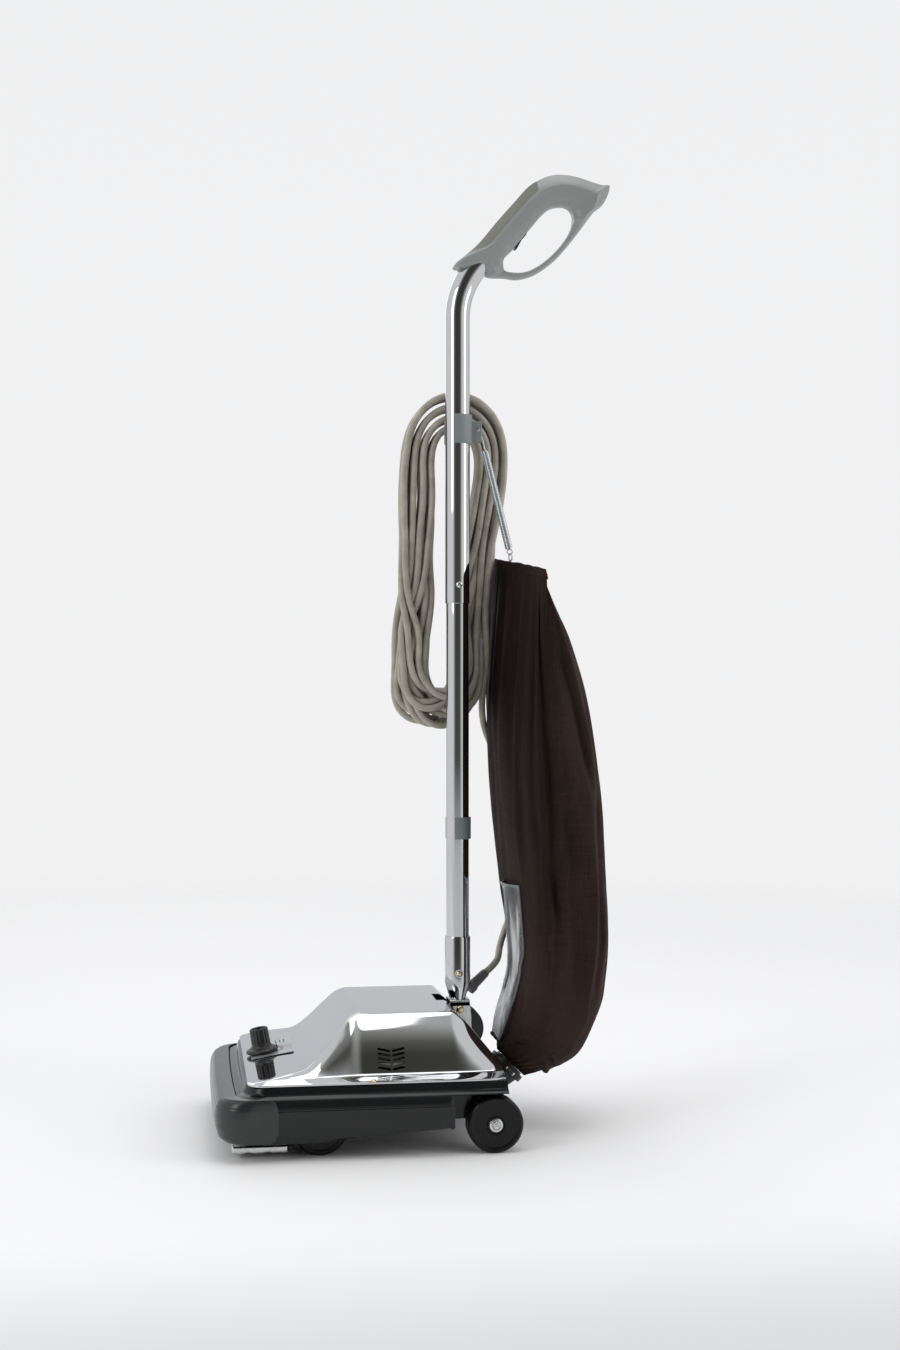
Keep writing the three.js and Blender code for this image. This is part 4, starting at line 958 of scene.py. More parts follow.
def make_fork():
    outline = [(-6, 109.4), (4, 109), (13, 110), (15.4, 118), (15, 134), (13, 152.6), (-12, 152.6), (-11, 134), (-9.6, 118)]
    cheeks = [side_prism(rounded(outline, 3, 4, closed=True), s * 15.4 - 1.2, s * 15.4 + 1.2) for s in (1, -1)]
    part("handle_fork_cheeks", join_shapes(*cheeks), "handle", "zinc", ["handle_fork"], edge=0.5, steps=2)
    u = [(-16.6, 146), (-16.6, 154), (16.6, 154), (16.6, 146), (14.4, 146), (14.4, 151.8), (-14.4, 151.8), (-14.4, 146)]
    saddle = prism(rounded(u, 2.4, 5, closed=True), -12, 13, lambda a, b, w: (a, w, b))
    part("handle_fork_saddle", saddle, "handle", "zinc")
    head = rounded([(0, 3), (3.2, 2.7), (4.4, 1.6), (4.6, 0), (0, 0)], 0.5, 3)
    for s, side in SIDES:
        rivet = revolve([(r, s * d) for r, d in head], (s * 16.7, 1, 143), (1, 0, 0), 28)
        part(f"fork_rivet_{side}", rivet, "handle", "brass")


make_pivot()
make_fork()


# ---- clips, hook and spring ----
CLIP_Z = 863


def clip_ring(r, wall, z0, z1, start, end):
    """An open ring on a tube, from one angle round to another, with rounded edges."""
    rings = []
    for a in np.radians(np.linspace(start, end, 44)):
        c, s = math.cos(a), math.sin(a)
        inner, outer = r + 0.25, r + wall
        section = rounded([(inner, z0), (outer, z0), (outer, z1), (inner, z1)], 0.7, 2, closed=True)
        rings.append([(q * c, q * s, z) for q, z in section])
    return loft(rings)


def make_clips():
    lower = clip_ring(TUBE_R, 2.4, 353, 380, -20, 236)
    part("lower_cord_clip_ring", lower, "handle", "grey_plastic", ["lower_cord_clip"], sharp=40)
    made = mesh_object("upper_clip_ring", *clip_ring(UPPER_R, 3, CLIP_Z - 18, CLIP_Z + 18, -21, 236), sharp=40)
    ears = [side_box(s, 2.4, 4.6, (UPPER_R + 1.5, 30), (847.5, 873.5)) for s in (1, -1)]
    part("upper_clip_ears", join_shapes(*ears), "handle", "grey_plastic", edge=0.9)
    piece(made, "handle", "grey_plastic", ["upper_clip"])
    bar = [(0, -5.4), (2.4, -5.4), (2.4, -4.7), (1.6, -4.7), (1.6, 4.7), (2.4, 4.7), (2.4, 5.4), (0, 5.4)]
    shape = revolve(rounded(bar, 0.3, 2), (0, 25, CLIP_Z), (1, 0, 0), 24)
    part("clip_cross_bar", shape, "handle", "zinc")
    for name, low, high, edge, nodes in (
        ("cord_hook_arm", (-65.6, -5, 857), (-19.2, 9, 865), 2, ["cord_hook"]),
        ("cord_hook_tip", (-66, -5, 857.4), (-61, 9, 884), 2, []),
        ("cord_hook_root", (-22.2, -8, 850), (-18.8, 10, 876), 1.2, []),
    ):
        part(name, box_shape(low, high), "handle", "grey_plastic", nodes, edge=edge)


def wire_ring(line, r):
    """A round wire along a closed line."""
    rings, centre = [], np.mean(line, axis=0)
    turn = np.linspace(0, 2 * PI, 13)[:-1]
    for p, q in zip(line, line[1:] + line[:1]):
        t, out = (q - p) / np.linalg.norm(q - p), (p - centre) / np.linalg.norm(p - centre)
        rings.append([p + r * (math.cos(b) * out + math.sin(b) * np.cross(t, out)) for b in turn])
    return loft(rings, loop=True)


def make_spring():
    """A close-wound helix with a hook at its top and an eye at its foot, and a ring in the bag's hem."""
    top, foot = np.array((0, 34.4, 838.0)), np.array((0, 65.6, 714.0))
    side, up, along = frame_of(foot - top)
    length, turns = np.linalg.norm(foot - top), 62
    a = np.linspace(0, turns * 2 * PI, turns * 14)[:, None]
    ends = np.clip(np.minimum(a, a[-1] - a) / (2 * PI), 0.25, 1)
    helix = top + along * (a / a[-1]) * length + (np.cos(a) * side + np.sin(a) * up) * 4.1 * ends
    finish = metal("spring_zinc", (0.55, 0.59, 0.60), 0.16, wear=0.6)
    part("bag_spring_coil", tube_along(helix, 0.92, 6), "handle", "zinc", ["bag_spring"], finish, sharp=60)
    hook = [
        (0, 35.2, 835), (0, 33.6, 842), (0, 31.6, 850), (0, 29.4, 857), (0, 28.2, 862.5), (0, 26, 866),
        (0, 22.8, 865), (0, 21.4, 861.5), (0, 22.6, 858.5),
    ]
    part("bag_spring_hook", tube_along(smooth_line(hook, 0.8), 1.05, 10), "handle", "zinc", sharp=60)
    angle = np.linspace(0, 2 * PI, 41)[:-1]
    eye = [np.array((0, 66.3, 711.4)) + (0, 3.2 * math.cos(t), 3.2 * math.sin(t)) for t in angle]
    ring = [np.array((0.4, 67, 704.6)) + (4.4 * math.cos(t), 1.2 * math.cos(t), 4.4 * math.sin(t)) for t in angle]
    for name, line in (("bag_spring_eye", eye), ("bag_hanging_ring", ring)):
        part(name, wire_ring(line, 0.95), "handle", "zinc", sharp=60)


make_clips()
make_spring()


# ---- grip: two moulded shells, a grained insert and a rocker ----
GRIP_OUTER = [
    (-5, 1065), (7, 1078), (26, 1095), (50, 1124), (72, 1149), (88, 1167), (104, 1178), (120, 1184), (136, 1185),
    (153, 1182.5), (170, 1177.5), (184, 1174), (193, 1173.5), (190, 1160), (183, 1148), (174, 1141), (164, 1128),
    (153, 1113), (138, 1094), (123, 1077.5), (106, 1064), (91, 1056), (74, 1052), (58, 1053.5), (40, 1054), (24, 1061),
]
GRIP_HOLE = [
    (146, 1134), (145, 1122), (138, 1107), (124, 1089), (106, 1073), (88, 1063), (71, 1061), (59, 1064), (58, 1077),
    (71, 1091), (91, 1115.5), (107.6, 1135), (118, 1143), (131, 1146), (141, 1143),
]
GRIP_HALF = 18.5
ROCKER = {"y": 79, "z": 1100.5, "along": (0.64, 0.768), "out": (0.768, -0.64)}


def closed_curve(points, per):
    """A smooth closed line through points, with so many steps to each."""
    p = np.array(points, float)
    out = []
    for i in range(len(p)):
        near = p[i - 1], p[i], p[(i + 1) % len(p)], p[(i + 2) % len(p)]
        out += [between(*near, t) for t in np.linspace(0, 1, per, endpoint=False)]
    return np.array(out)


def grip_spokes(count):
    """Pairs of places on the grip's outline and on the rim of its finger hole, all the way round."""
    centre, lean, stretch = np.array((102.0, 1104.0)), 0.84, 0.42
    turn = np.array(((math.cos(lean), math.sin(lean)), (-math.sin(lean), math.cos(lean)))) * ((stretch,), (1,))
    angles = np.linspace(-PI, PI, count, endpoint=False)
    pairs = []
    for points in (GRIP_OUTER, GRIP_HOLE):
        line = closed_curve(points, 24)
        flat = (line - centre) @ turn.T
        a = np.arctan2(flat[:, 1], flat[:, 0])
        order = np.argsort(a)
        pairs.append(np.stack([np.interp(angles, a[order], line[order, k], period=2 * PI) for k in (0, 1)], axis=1))
    return pairs


# How far in from the outline, and half the thickness there, as shares: of the bar, the neck and the rear strut.
BAR = [
    (0, 0), (0, 0.28), (0.05, 0.42), (0.16, 0.66), (0.28, 0.86), (0.40, 1.0), (0.46, 0.965), (0.62, 0.93), (0.8, 0.87),
    (0.93, 0.66), (1.0, 0.3), (1.0, 0),
]
NECK = [
    (0, 0), (0, 0.5), (0.03, 0.78), (0.1, 0.94), (0.2, 1.0), (0.34, 1.0), (0.46, 0.99), (0.62, 0.95), (0.8, 0.88),
    (0.93, 0.66), (1.0, 0.3), (1.0, 0),
]
STRUT = [(0.5 - 0.5 * math.cos(t), math.sin(t)) for t in np.linspace(0, PI, 12)]
CREASE = 5


def smoothstep(low, high, value):
    t = max(0, min(1, (value - low) / (high - low)))
    return t * t * (3 - 2 * t)


def grip_section(outer, hole):
    """Half of the grip's section on one spoke, from the outline in to the hole: (y, z, half thickness) rows."""
    wide = float(np.linalg.norm(hole - outer))
    bar, neck = smoothstep(13, 27, wide), 1 - smoothstep(3, 15, outer[0])
    shares = mix(np.array(STRUT), mix(np.array(BAR), np.array(NECK), neck), bar)
    half = mix(9.5, GRIP_HALF - 0.4, bar)
    fine = []
    for low, high in ((0, CREASE), (CREASE, 11)):
        run = shares[low : high + 1]
        line = np.vstack([2 * run[0] - run[1], run, 2 * run[-1] - run[-2]])
        for near in zip(line, line[1:], line[2:], line[3:]):
            fine += [between(*near, t) for t in (0, 0.34, 0.67)]
    fine.append(shares[-1])
    fine = np.clip(np.array(fine), 0, 1)
    return [(*(outer + (hole - outer) * w), x * half) for w, x in fine]


def grip_side(spokes, sign, inside):
    """One half of the grip, with a flat inner face along its parting plane."""
    rings = []
    for outer, hole in zip(*spokes):
        half = grip_section(outer, hole)
        skin = [(sign * max(x, inside), y, z) for y, z, x in half]
        rings.append(skin + [(sign * inside, y, z) for y, z, _ in half[-2:0:-3]])
    return loft(rings, caps=False, loop=True)


def on_bar(along, out):
    """A place on the grip's bar: along it, and out into the finger hole."""
    return tuple(ROCKER[k] + along * ROCKER["along"][i] + out * ROCKER["out"][i] for i, k in enumerate("yz"))


def bar_box(a0, a1, o0, o1, half):
    corners = [on_bar(a, o) for a, o in ((a0, o0), (a1, o0), (a1, o1), (a0, o1))]
    return side_prism(corners, -half, half)


def make_grip():
    spokes = grip_spokes(240)
    well = bar_box(-13.4, 13.4, -10.6, 14, 6.4)
    for s, side in SIDES:
        made = mesh_object(f"grip_{side}_half", *grip_side(spokes, s, 0.12), sharp=50)
        carve(made, well, sharp=50)
        piece(made, "handle", "grey_plastic", [f"grip_shell_{side}"], GRIP_PLASTIC)
    make_insert(grip_spokes(480))


def from_ends(n):
    """How many places each of n is from the nearer end."""
    return np.minimum(np.arange(n), np.arange(n)[::-1])


def make_insert(spokes):
    """The grained insert: a skin over the front of the bar, from crease to crease, with a raised edge."""
    picked = [(o, h) for o, h in zip(*spokes) if 8 < o[0] < 101 and o[1] > 1078 + (o[0] - 8) * 0.9]
    picked.sort(key=lambda pair: pair[0][0] + pair[0][1])
    rings, rims = [], ([], [])
    top = 3 * CREASE - 1
    for (outer, hole), near in zip(picked, from_ends(len(picked))):
        section = grip_section(outer, hole)
        inward = (hole - outer) / np.linalg.norm(hole - outer)
        proud = 0.55 * min(1, near / 3)
        front = [(x, y, z) for y, z, x in section[1:top]]
        skin = np.array([(-x, y, z) for x, y, z in front[::-1]] + front)
        away = np.column_stack([np.sign(skin[:, 0]) * 0.75, np.tile(-0.66 * inward, (len(skin), 1))])
        edge = np.minimum(1, from_ends(len(skin)) / 2.0)[:, None]
        rings.append(np.vstack([skin + away * (proud * edge - 0.1), (skin - away * 1.2)[::-1]]))
        y, z, x = section[top + 1]
        for rim, sign in zip(rims, (1, -1)):
            rim.append((sign * (x - 0.35), y, z))
    part("grip_front_insert", loft(rings), "handle", "grip_insert", ["grip_insert"], sharp=60)
    for rim, (_, side) in zip(rims, SIDES):
        fade = np.minimum(1, 0.3 + from_ends(len(rim)) / 6)
        shape = tube_along(rim, 0.9 * fade, 8)
        part(f"grip_ridge_{side}", shape, "handle", "grey_plastic", material=GRIP_PLASTIC, sharp=80)


def make_rocker():
    rocker = rounded([(-12, -7), (12, -7), (12, 0.6), (2, 0.4), (-2, 1.2), (-12, 3.2)], 1.2, 4, closed=True)
    made = mesh_object("power_rocker", *side_prism([on_bar(a, o) for a, o in rocker], -6, 6))
    bevel(made, 0.7, 2, 50)
    piece(made, "rocker", "black_plastic", ["switch_rocker"])


GRIP_PLASTIC = moulded("grip_plastic", (0.285, 0.299, 0.29), 0.34, grain=0.5, mottle=0.04)
make_grip()
make_rocker()


# ---- strain relief, plug, outlet and clamp ----
PLUG = (-76.5, -46)


def make_relief():
    start, end = np.array((-5.8, 14.9, 163.8)), np.array((-14, 38, 183))
    along = (end - start) / np.linalg.norm(end - start)
    length = np.linalg.norm(end - start)
    profile = [(0, 0), (8.0, 0), (8.0, 7.4), (7.4, 8.2), (6.7, 8.6)]
    at, r = 9.6, 6.7
    while at < length - 1.6:
        profile += [(r, at), (r - 0.05, at + 1.2), (r - 0.75, at + 1.5), (r - 0.75, at + 2.2)]
        at, r = at + 2.6, r - 0.13
    profile += [(5.5, at), (5.4, length), (4.4, length), (0, length)]
    made = mesh_object("cord_strain_relief", *revolve(rounded(profile, 0.35, 2), start, along, 40), sharp=45)
    carve(made, revolve([(0, 120), (SOCKET_R + 0.2, 120), (SOCKET_R + 0.2, 232), (0, 232)], sides=48))
    piece(made, "handle", "rubber", ["strain_relief"], moulded("relief_rubber", (0.13, 0.13, 0.125), 0.4))
    return made


def make_plug():
    """A moulded three-pin plug: ribbed neck, shouldered body, finger grip, two blades and an earth pin."""
    x, y = PLUG
    body = [
        (0, 704.4), (5.6, 704.4), (6.1, 700), (5.7, 699.4), (5.7, 698), (6.5, 697.4), (6.6, 694), (6.2, 693.4),
        (6.2, 692), (8.8, 689), (12.5, 685), (13.4, 680), (13.5, 664), (12.9, 662.6), (12.9, 660.6), (13.3, 659.6),
        (12.2, 652.6), (0, 652),
    ]
    points, faces = revolve(rounded(body, 1.2, 3), sides=64)
    points[:, 0] *= 1 - np.exp(-(((points[:, 2] - 674) / 8) ** 2)) * 0.16
    plug = part("moulded_plug", (points + (x, y, 0), faces), "handle", "black_plastic", ["plug"], sharp=45)
    flat = [box_shape((x - 3.2, y + d - 0.75, 633), (x + 3.2, y + d + 0.75, 654)) for d in (-6.3, 6.3)]
    blades = part("plug_blades", join_shapes(*flat), "handle", "brass", edge=0.5, steps=2)
    pin = rounded([(0, 632), (1.4, 632), (2.4, 634), (2.4, 654), (0, 654)], 0.8, 3)
    earth = part("plug_earth_pin", revolve(pin, (x + 5.5, y, 0), sides=24), "handle", "brass")
    return [plug, blades, earth]


OUTLET_Z = 60


def make_outlet():
    bend = [(0, 41, OUTLET_Z), (0, 46, OUTLET_Z + 0.2), (0, 57, 63.4)]
    line = smooth_line([(0, 36.4, OUTLET_Z), *bend, (0, 66, 72)], 1.5)
    radii = [20 + (1.6 if i < 3 else 0) for i in range(len(line))]
    elbow = mesh_object("bag_outlet_elbow", *tube_along(line, radii, 64), sharp=45)
    inner = smooth_line([(0, 30, OUTLET_Z), *bend, (0, 69, 75)], 1.5)
    carve(elbow, tube_along(inner, 17.4, 48), sharp=45)
    piece(elbow, "base", "black_plastic", ["bag_outlet"])
    ring = rounded([(22, -4), (24.4, -4), (24.4, 4), (22, 4), (22, -4)], 0.8, 3)
    axis, centre = (0, 0.7071, 0.7071), np.array((0, 61.4, 67.4))
    part("bag_clamp_band", revolve(ring, centre, axis, 80), "base", "black_plastic", ["bag_clamp"], sharp=45)
    turn = np.array(Matrix.Rotation(-PI / 4, 3, "X"))
    points, faces = box_shape((23.4, -4.2, -3.2), (31, 4.2, 3.2))
    part("bag_clamp_lug", (points @ turn.T + centre, faces), "base", "black_plastic", edge=1)
    bolt = [(0, -6.4), (2.8, -6.4), (2.8, -4.4), (1.5, -4.4), (1.5, 4.4), (3, 4.4), (3, 7), (0, 7)]
    points, faces = revolve(rounded(bolt, 0.4, 2), axis=(0, 1, 0), sides=20)
    part("bag_clamp_bolt", ((points + (27.4, 0, 0)) @ turn.T + centre, faces), "base", "zinc")


relief = make_relief()
plug_parts = make_plug()
make_outlet()
piece(cord, "handle", "cord_jacket", ["cord_run", "cord_hank", "cord_tail"])


# ---- bag ----
# front (y, z), rear (y, z), half-width, twist, and fall from right to left, from the sewn top to the inlet
BAG = [
    (70, 697, 78, 697, 97, 0.2, 0.13), (65, 660, 98, 656, 98, 0.218, 0.08), (59.5, 600, 129, 600, 100, 0.207, 0.03),
    (58.5, 500, 158, 500, 102, 0.191, 0), (62.5, 400, 173, 400, 103, 0.172, 0), (70.5, 300, 180, 300, 102, 0.15, 0),
    (79, 215, 186, 226, 101, 0.07, 0), (70, 168, 185, 174, 98, 0.02, 0), (60, 134, 175, 134, 90, 0, 0),
    (53, 112, 153, 94, 74, 0, 0), (50.5, 97, 116, 66, 46, 0, 0), (51, 88, 82.5, 56.5, 17, 0, 0),
]
# angle and height where a fold starts and ends, its width in angle, and its depth
FOLDS = [
    (-0.50, 690, -0.40, 165, 0.10, 7.5), (-0.74, 690, -0.68, 250, 0.11, -3.0), (0.0, 610, 0.34, 420, 0.10, 9.0),
    (0.20, 600, 0.50, 440, 0.10, -3.0), (-0.16, 420, 0.10, 140, 0.14, 8.0), (-1.3, 520, -1.15, 320, 0.15, 4.0),
    (-1.02, 480, -0.9, 330, 0.12, -2.5), (0.60, 440, 0.42, 150, 0.14, 7.5), (2.2, 600, 2.45, 250, 0.12, 5.0),
    (-0.9, 400, -0.25, 250, 0.12, 6.0), (0.30, 330, 0.22, 150, 0.1, -3.0),
    (3.35, 620, 3.5, 200, 0.12, 6.0), (4.3, 560, 4.4, 330, 0.15, 4.0), (1.3, 560, 1.5, 200, 0.14, 4.0),
]
BAG_AROUND = 176
HEM_Y, HEM_Z = 74, 697


def wave(x, y, z, seed):
    return noise.noise(Vector((x, y, z + seed * 17.3)))


def fold_depth(t, z):
    """How far the folds move the cloth out at an angle and a height."""
    total = 0
    for start, high, end, low, wide, depth in FOLDS:
        share = (high - z) / (high - low)
        strength = smoothstep(-0.02, 0.18, share) * (1 - smoothstep(0.75, 1.1, share))
        off = (t - mix(start, end, share) + PI) % (2 * PI) - PI
        total -= depth * strength * math.exp(-((off / wide) ** 2))
    return total


def bag_rings(steps):
    """Rings from the bag's sewn top to its inlet, with long soft folds."""
    table = np.array(BAG, float)
    place = np.linspace(0, len(BAG) - 1, steps)
    columns = [pchip(np.arange(len(BAG)), table[:, k], place) for k in range(7)]
    rings = []
    a = np.linspace(0, 2 * PI, BAG_AROUND, endpoint=False)
    for level, (fy, fz, ry, rz, half, twist, fall) in zip(place, zip(*columns)):
        y, z, rise, deep = (fy + ry) / 2, (fz + rz) / 2, (rz - fz) / (ry - fy), (ry - fy) / 2
        full = min(1, max(0, (level - 0.1) / 1.2)) * min(1, max(0, (len(BAG) - 1 - level) / 1.6))
        power = 0.72 if level < 8 else mix(0.72, 0.95, (level - 8) / 3)
        ring = []
        for t in a:
            c, s = math.cos(t), math.sin(t)
            u = half * math.copysign(abs(c) ** power, c)
            v = deep * math.copysign(abs(s) ** power, s)
            run = z * 0.0042
            long_folds = wave(2.6 * c, 2.6 * s, run, 1) * 4.6 + wave(6.2 * c, 6.2 * s, run * 1.7, 2) * 2.0
            lean = wave(4.5 * c + z * 0.006, 4.5 * s, z * 0.011, 3) * 1.7 + wave(10 * c, 10 * s, z * 0.03, 8) * 0.8
            gather = math.cos(t * 22 + 2 * wave(c, s, z * 0.02, 4)) * 1.6 * max(0, min(1, (level - 9.2) / 1.4))
            out = (long_folds + lean) * full + gather * min(1, deep / 14) + fold_depth(t, z) * min(1, level / 0.7)
            reach = math.hypot(u, v) or 1
            u, v = u * (1 + out / reach), v * (1 + out / reach * (0.75 if s < 0 else 1))
            cos_t, sin_t = math.cos(twist), math.sin(twist)
            ring.append((u * cos_t - v * sin_t, y + v * cos_t + u * sin_t, z + v * rise - u * fall))
        rings.append(ring)
    return rings


def drape(made, pinned, frames, cap):
    """Lets the cloth settle with a little spare width, held where it is sewn, and caps how far it may move."""
    before = np.array([v.co for v in made.data.vertices])
    group = made.vertex_groups.new(name="sewn")
    group.add([int(i) for i in pinned], 1.0, "REPLACE")
    mod = made.modifiers.new("drape", "CLOTH")
    cloth = mod.settings
    cloth.quality, cloth.mass = 6, 0.12
    cloth.tension_stiffness = cloth.compression_stiffness = 22
    cloth.shear_stiffness, cloth.bending_stiffness = 8, 0.12
    cloth.vertex_group_mass = "sewn"
    cloth.shrink_min = cloth.shrink_max = -0.035
    cloth.use_pressure, cloth.uniform_pressure_force = True, 0.35
    mod.collision_settings.use_collision = False
    mod.point_cache.frame_start, mod.point_cache.frame_end = 1, frames
    scene = bpy.context.scene
    for f in range(1, frames + 1):
        scene.frame_set(f)
    shape = made.evaluated_get(bpy.context.evaluated_depsgraph_get()).data
    after = np.array([v.co for v in shape.vertices])
    made.modifiers.clear()
    move = after - before
    far = np.linalg.norm(move, axis=1)
    move *= np.minimum(1, cap / np.maximum(far, 1e-9))[:, None]
    for v, p in zip(made.data.vertices, before + move):
        v.co = p
    scene.frame_set(1)
    made.vertex_groups.clear()


def make_bag():
    rings = bag_rings(120)
    made = mesh_object("cloth_bag", *loft(rings, caps=False), sharp=80)
    place = np.array([v.co for v in made.data.vertices])
    top, inlet = place[:, 2] > 0.684, (place[:, 1] < 0.150) & (place[:, 2] < 0.105)
    drape(made, np.nonzero(top | inlet)[0], 16, 0.007)
    smooth = made.modifiers.new("smooth", "SUBSURF")
    smooth.levels = smooth.render_levels = 1
    wall = made.modifiers.new("cloth", "SOLIDIFY")
    wall.thickness, wall.offset = 0.0011, -1
    applied(made, 80)
    return made, rings


def bag_hem():
    """The folded top hem, with its two rows of stitches."""
    twist, fall = BAG[0][5], BAG[0][6]
    c, s = math.cos(twist), math.sin(twist)
    on_hem = lambda u, lift: np.array((u * c, HEM_Y + u * s, HEM_Z - u * fall + lift))
    along, across = np.array((c, s, -fall)), np.array((-s, c, 0))
    section = rounded([(-4.4, -8), (-3.0, -1), (-1.6, 1.6), (1.6, 1.6), (3.0, -1), (4.4, -8)], 1.6, 4)
    rings = []
    for i, u in enumerate(np.linspace(-97.5, 97.5, 60)):
        p = on_hem(u, -5 * max(0, (abs(u) - 72) / 26) ** 2)
        ripple, lift = 1.1 * wave(i * 0.21, 0, 0, 5), 1.2 * wave(i * 0.17, 3, 0, 5)
        near = min(1, min(i, 59 - i) / 1.5 + 0.55)
        rings.append([p + across * (v * near + ripple) + (0, 0, w * 0.9 - 0.4 + lift) for v, w in section])
    made = mesh_object("bag_top_hem", *loft(rings), sharp=60)
    threads = []
    for row, proud in ((-2.6, 0.1), (-6.4, 0.9)):
        for u in np.arange(-92, 92, 3.4):
            p = on_hem(u, row)
            for side in (across * (3.1 + proud), across * -(3.1 + proud)):
                threads.append(tube_along([p + side - along, p + side * 1.05, p + side + along], 0.28, 5))
    return made, mesh_object("bag_hem_stitches", *join_shapes(*threads), sharp=80)


def soft_piece(made, slot, node=None, material=None):
    """Finishes a piece that lies between the base and the handle, hides the CAD node that it stands for, and bakes its
    place into its mesh.
    """
    dress(made, slot, material)
    if node:
        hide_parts(node)
    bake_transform(made)


bag, BAG_RINGS = make_bag()
hem, stitches = bag_hem()
piece(hem, "handle", "cloth")
piece(stitches, "handle", "cloth", (), moulded("bag_thread", (0.035, 0.028, 0.026), 0.7))
soft_piece(bag, "cloth", "bag")


# ---- clear window ----
WINDOW = [
    (56, 296, 40, 15), (61, 270, 40, 12), (64, 219, 40, 13), (65, 193, 38, 8), (60, 167, 38, 8), (52, 140, 36, 7),
    (47.5, 121, 30, 6), (44, 105, 22, 5),
]


def window_rings(steps, across, high=7):
    """Rows of points over the window from its top down, at shares of its half-width."""
    table = np.array(WINDOW, float)
    place = np.linspace(0, high, steps)
    columns = [pchip(np.arange(len(WINDOW)), table[:, k], place) for k in range(4)]
    rings = []
    for y, z, half, bulge in zip(*columns):
        row = []
        for t in across:
            crease = wave(t * 3.1, z * 0.012, 0, 6) * 3.2 + wave(t * 7.5, z * 0.02, 0, 7) * 1.3
            crease *= 1 - abs(t) ** 4
            row.append((t * half, y + bulge * t * t + crease, z))
        rings.append(row)
    return np.array(rings)


def grid_shape(rings):
    n, k = rings.shape[:2]
    cells = [r * k + i for r in range(n - 1) for i in range(k - 1)]
    return rings.reshape(-1, 3), [(i, i + 1, k + i + 1, k + i) for i in cells]


def make_window():
    """The window, the hem sewn round its sides and top, and the tie round the gathered cloth below it."""
    shares = np.linspace(-1, 1, 49)
    made = mesh_object("clear_bag_window", *grid_shape(window_rings(80, shares)), sharp=80)
    wall = made.modifiers.new("thick", "SOLIDIFY")
    wall.thickness, wall.offset = 0.0006, 0
    applied(made, 80)
    hem_parts = []
    for s in (-1, 1):
        side = window_rings(80, np.array([s * 0.98]))[:, 0]
        hem_parts.append(tube_along(side, 1.5, 8))
        low, high = np.array((s * 1.2, -1.6, 0)), np.array((s * 1.2, -1.9, 0))
        for p, q in zip(side[2::2], side[3::2]):
            hem_parts.append(tube_along([p + low, (p + q) / 2 + high, q + low], 0.3, 5))
    hem_parts.append(tube_along(window_rings(3, shares, 0.25)[0], 1.7, 8))
    edge = mesh_object("window_hem", *join_shapes(*hem_parts), sharp=70)
    knot = [
        (22 * math.cos(a) * (0.95 + 0.1 * math.sin(5 * a)), 51 + 7 * math.sin(a), 107 + 2 * math.sin(3 * a))
        for a in np.linspace(0, 2 * PI, 60)
    ]
    return made, edge, mesh_object("window_tie", *tube_along(knot, 1.9, 8), sharp=70)


window, window_hem, window_tie = make_window()
soft_piece(window, "clear_vinyl", "bag_window")
soft_piece(window_hem, "clear_vinyl", material=moulded("vinyl_edge", (0.2, 0.21, 0.22), 0.25, mottle=0.35))
soft_piece(window_tie, "cloth")


# ---- finishes of the CAD nodes that stay, most of them inside the base ----
def finish_nodes():
    inside = {
        "steel": [
            "motor_shaft", "motor_field", "motor_case", "motor_bell", "front_axle", "wheel_carriage", "carriage_pin",
            "rear_axle", "height_cam",
        ],
        "black_plastic": [
            "brush_roll", "brush_end_cap_left", "brush_end_cap_right", "fan_housing", "exhaust_duct", "switch_body",
        ],
        "copper_winding": ["motor_armature"],
        "carbon": ["carbon_brush_left", "carbon_brush_right"],
        "grey_plastic": ["fan"],
        "rubber": ["drive_belt"],
    }
    for slot, names in inside.items():
        for name in names:
            dress(bpy.data.objects[name], slot)


finish_nodes()


# ---- floor, light and surroundings ----
def make_floor():
    """A pale disc with painted shade, darker on the side towards +X, that fades into the surroundings far from the
    object.
    """
    shape = bmesh.new()
    bmesh.ops.create_circle(shape, cap_ends=True, segments=96, radius=14)
    data = bpy.data.meshes.new("floor")
    shape.to_mesh(data)
    shape.free()
    floor = add_object("studio_floor", data)
    n = Nodes("floor_paper")
    # Painted shade: the floor's colour darkens from pale to grey between X = 0.42 m and 0.85 m.
    shaded = n.smooth(n.add("ShaderNodeSeparateXYZ", {0: n.place}).outputs["X"], 0.42, 0.85)
    paper_and_painted_shade = n.blend(shaded, (0.97, 0.97, 0.975, 1), (0.74, 0.744, 0.75, 1))
    n.set(Base_Color=paper_and_painted_shade, Roughness=0.75, Specular_IOR_Level=0.25)
    distance = n.add("ShaderNodeVectorMath", {0: n.place}, operation="LENGTH").outputs["Value"]
    clear = n.add("ShaderNodeBsdfTransparent").outputs[0]
    layers = {0: n.smooth(distance, 1.1, 3.2), 1: n.shader.outputs[0], 2: clear}
    surface = n.add("ShaderNodeMixShader", layers).outputs[0]
    n.tree.links.new(surface, n.tree.nodes["Material Output"].inputs["Surface"])
    data.materials.append(n.owner)


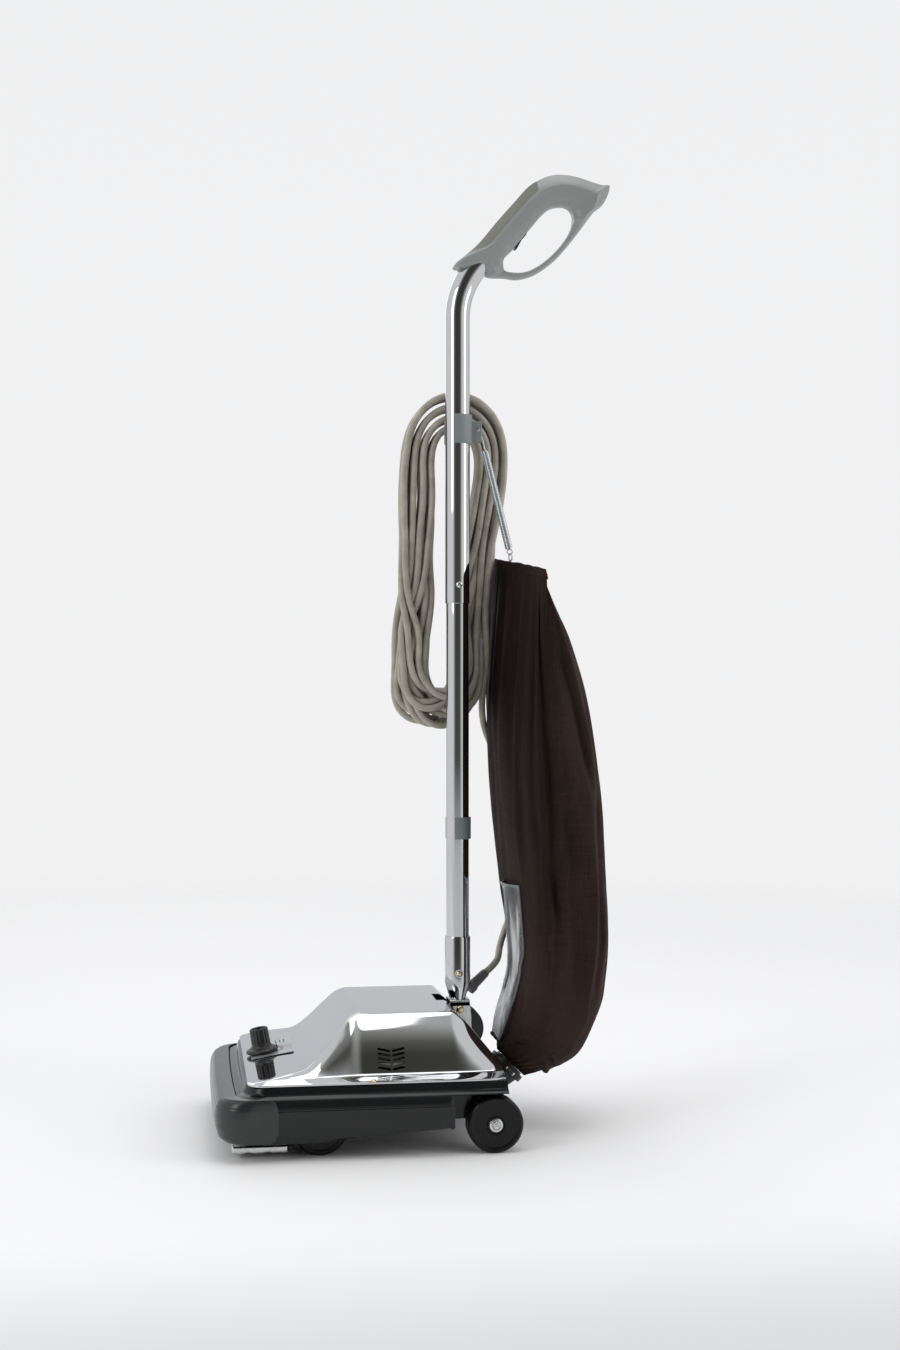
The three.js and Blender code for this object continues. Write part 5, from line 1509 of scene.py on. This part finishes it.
def make_world():
    """Pale surroundings with a dark side towards +X and a dim wall behind the object. The lens sees only the pale."""
    n = Nodes("studio", bpy.data.worlds)
    bpy.context.scene.world = n.owner
    toward = n.place.node.outputs["Generated"]
    level = n.add("ShaderNodeVectorMath", {0: toward, 1: (1, 1, 0)}, operation="MULTIPLY").outputs[0]
    level = n.add("ShaderNodeVectorMath", {0: level}, operation="NORMALIZE").outputs[0]
    facing = n.add("ShaderNodeVectorMath", {0: level, 1: (0.99, -0.144, 0)}, operation="DOT_PRODUCT").outputs["Value"]
    height = n.add("ShaderNodeSeparateXYZ", {0: toward}).outputs["Z"]
    height = n.add("ShaderNodeMapRange", {"Value": height, "From Min": -1.0}).outputs[0]
    dark = n.colours(
        height, (0.42, (0.62, 0.62, 0.62)), (0.48, (0.10, 0.096, 0.09)), (0.6, (0.06, 0.057, 0.052)),
        (0.86, (0.06, 0.059, 0.05)), (0.92, (0.11, 0.109, 0.094)), (0.97, (0.3, 0.3, 0.285)), (1.0, (0.72, 0.72, 0.72)),
    )
    pale = n.colours(height, (0.0, (0.87, 0.87, 0.875)), (0.5, (0.885, 0.885, 0.895)), (1.0, (0.84, 0.845, 0.855)))
    dim = (0.66, 0.672, 0.70)
    wall = n.colours(height, (0.3, (0.87, 0.87, 0.875)), (0.5, dim), (0.66, dim), (0.8, (0.85, 0.85, 0.86)))
    room = n.blend(n.smooth(facing, 0.68, 0.96), pale, dark)
    room = n.blend(n.smooth(facing, -0.3, -0.85), room, wall)
    lens = n.add("ShaderNodeLightPath").outputs["Is Camera Ray"]
    n.set(Color=n.blend(lens, room, pale))


def make_lights():
    middle = (0, 0.05, 0.45)
    add_light("key_softbox", (1.4, -2.2, 1.7), middle, (0.9, 1.5), 11)
    add_light("fill_softbox", (1.1, 2.4, 1.5), middle, (0.8, 1.7), 11)
    add_light("top_softbox", (0.1, 0.1, 3.0), (0, 0, 0), (1.6, 1.6), 14.5)
    add_light("back_softbox", (-2.4, -0.6, 1.7), middle, (1.4, 1.4), 5)


make_floor()
make_world()
make_lights()
bpy.context.scene.view_settings.view_transform = "Standard"
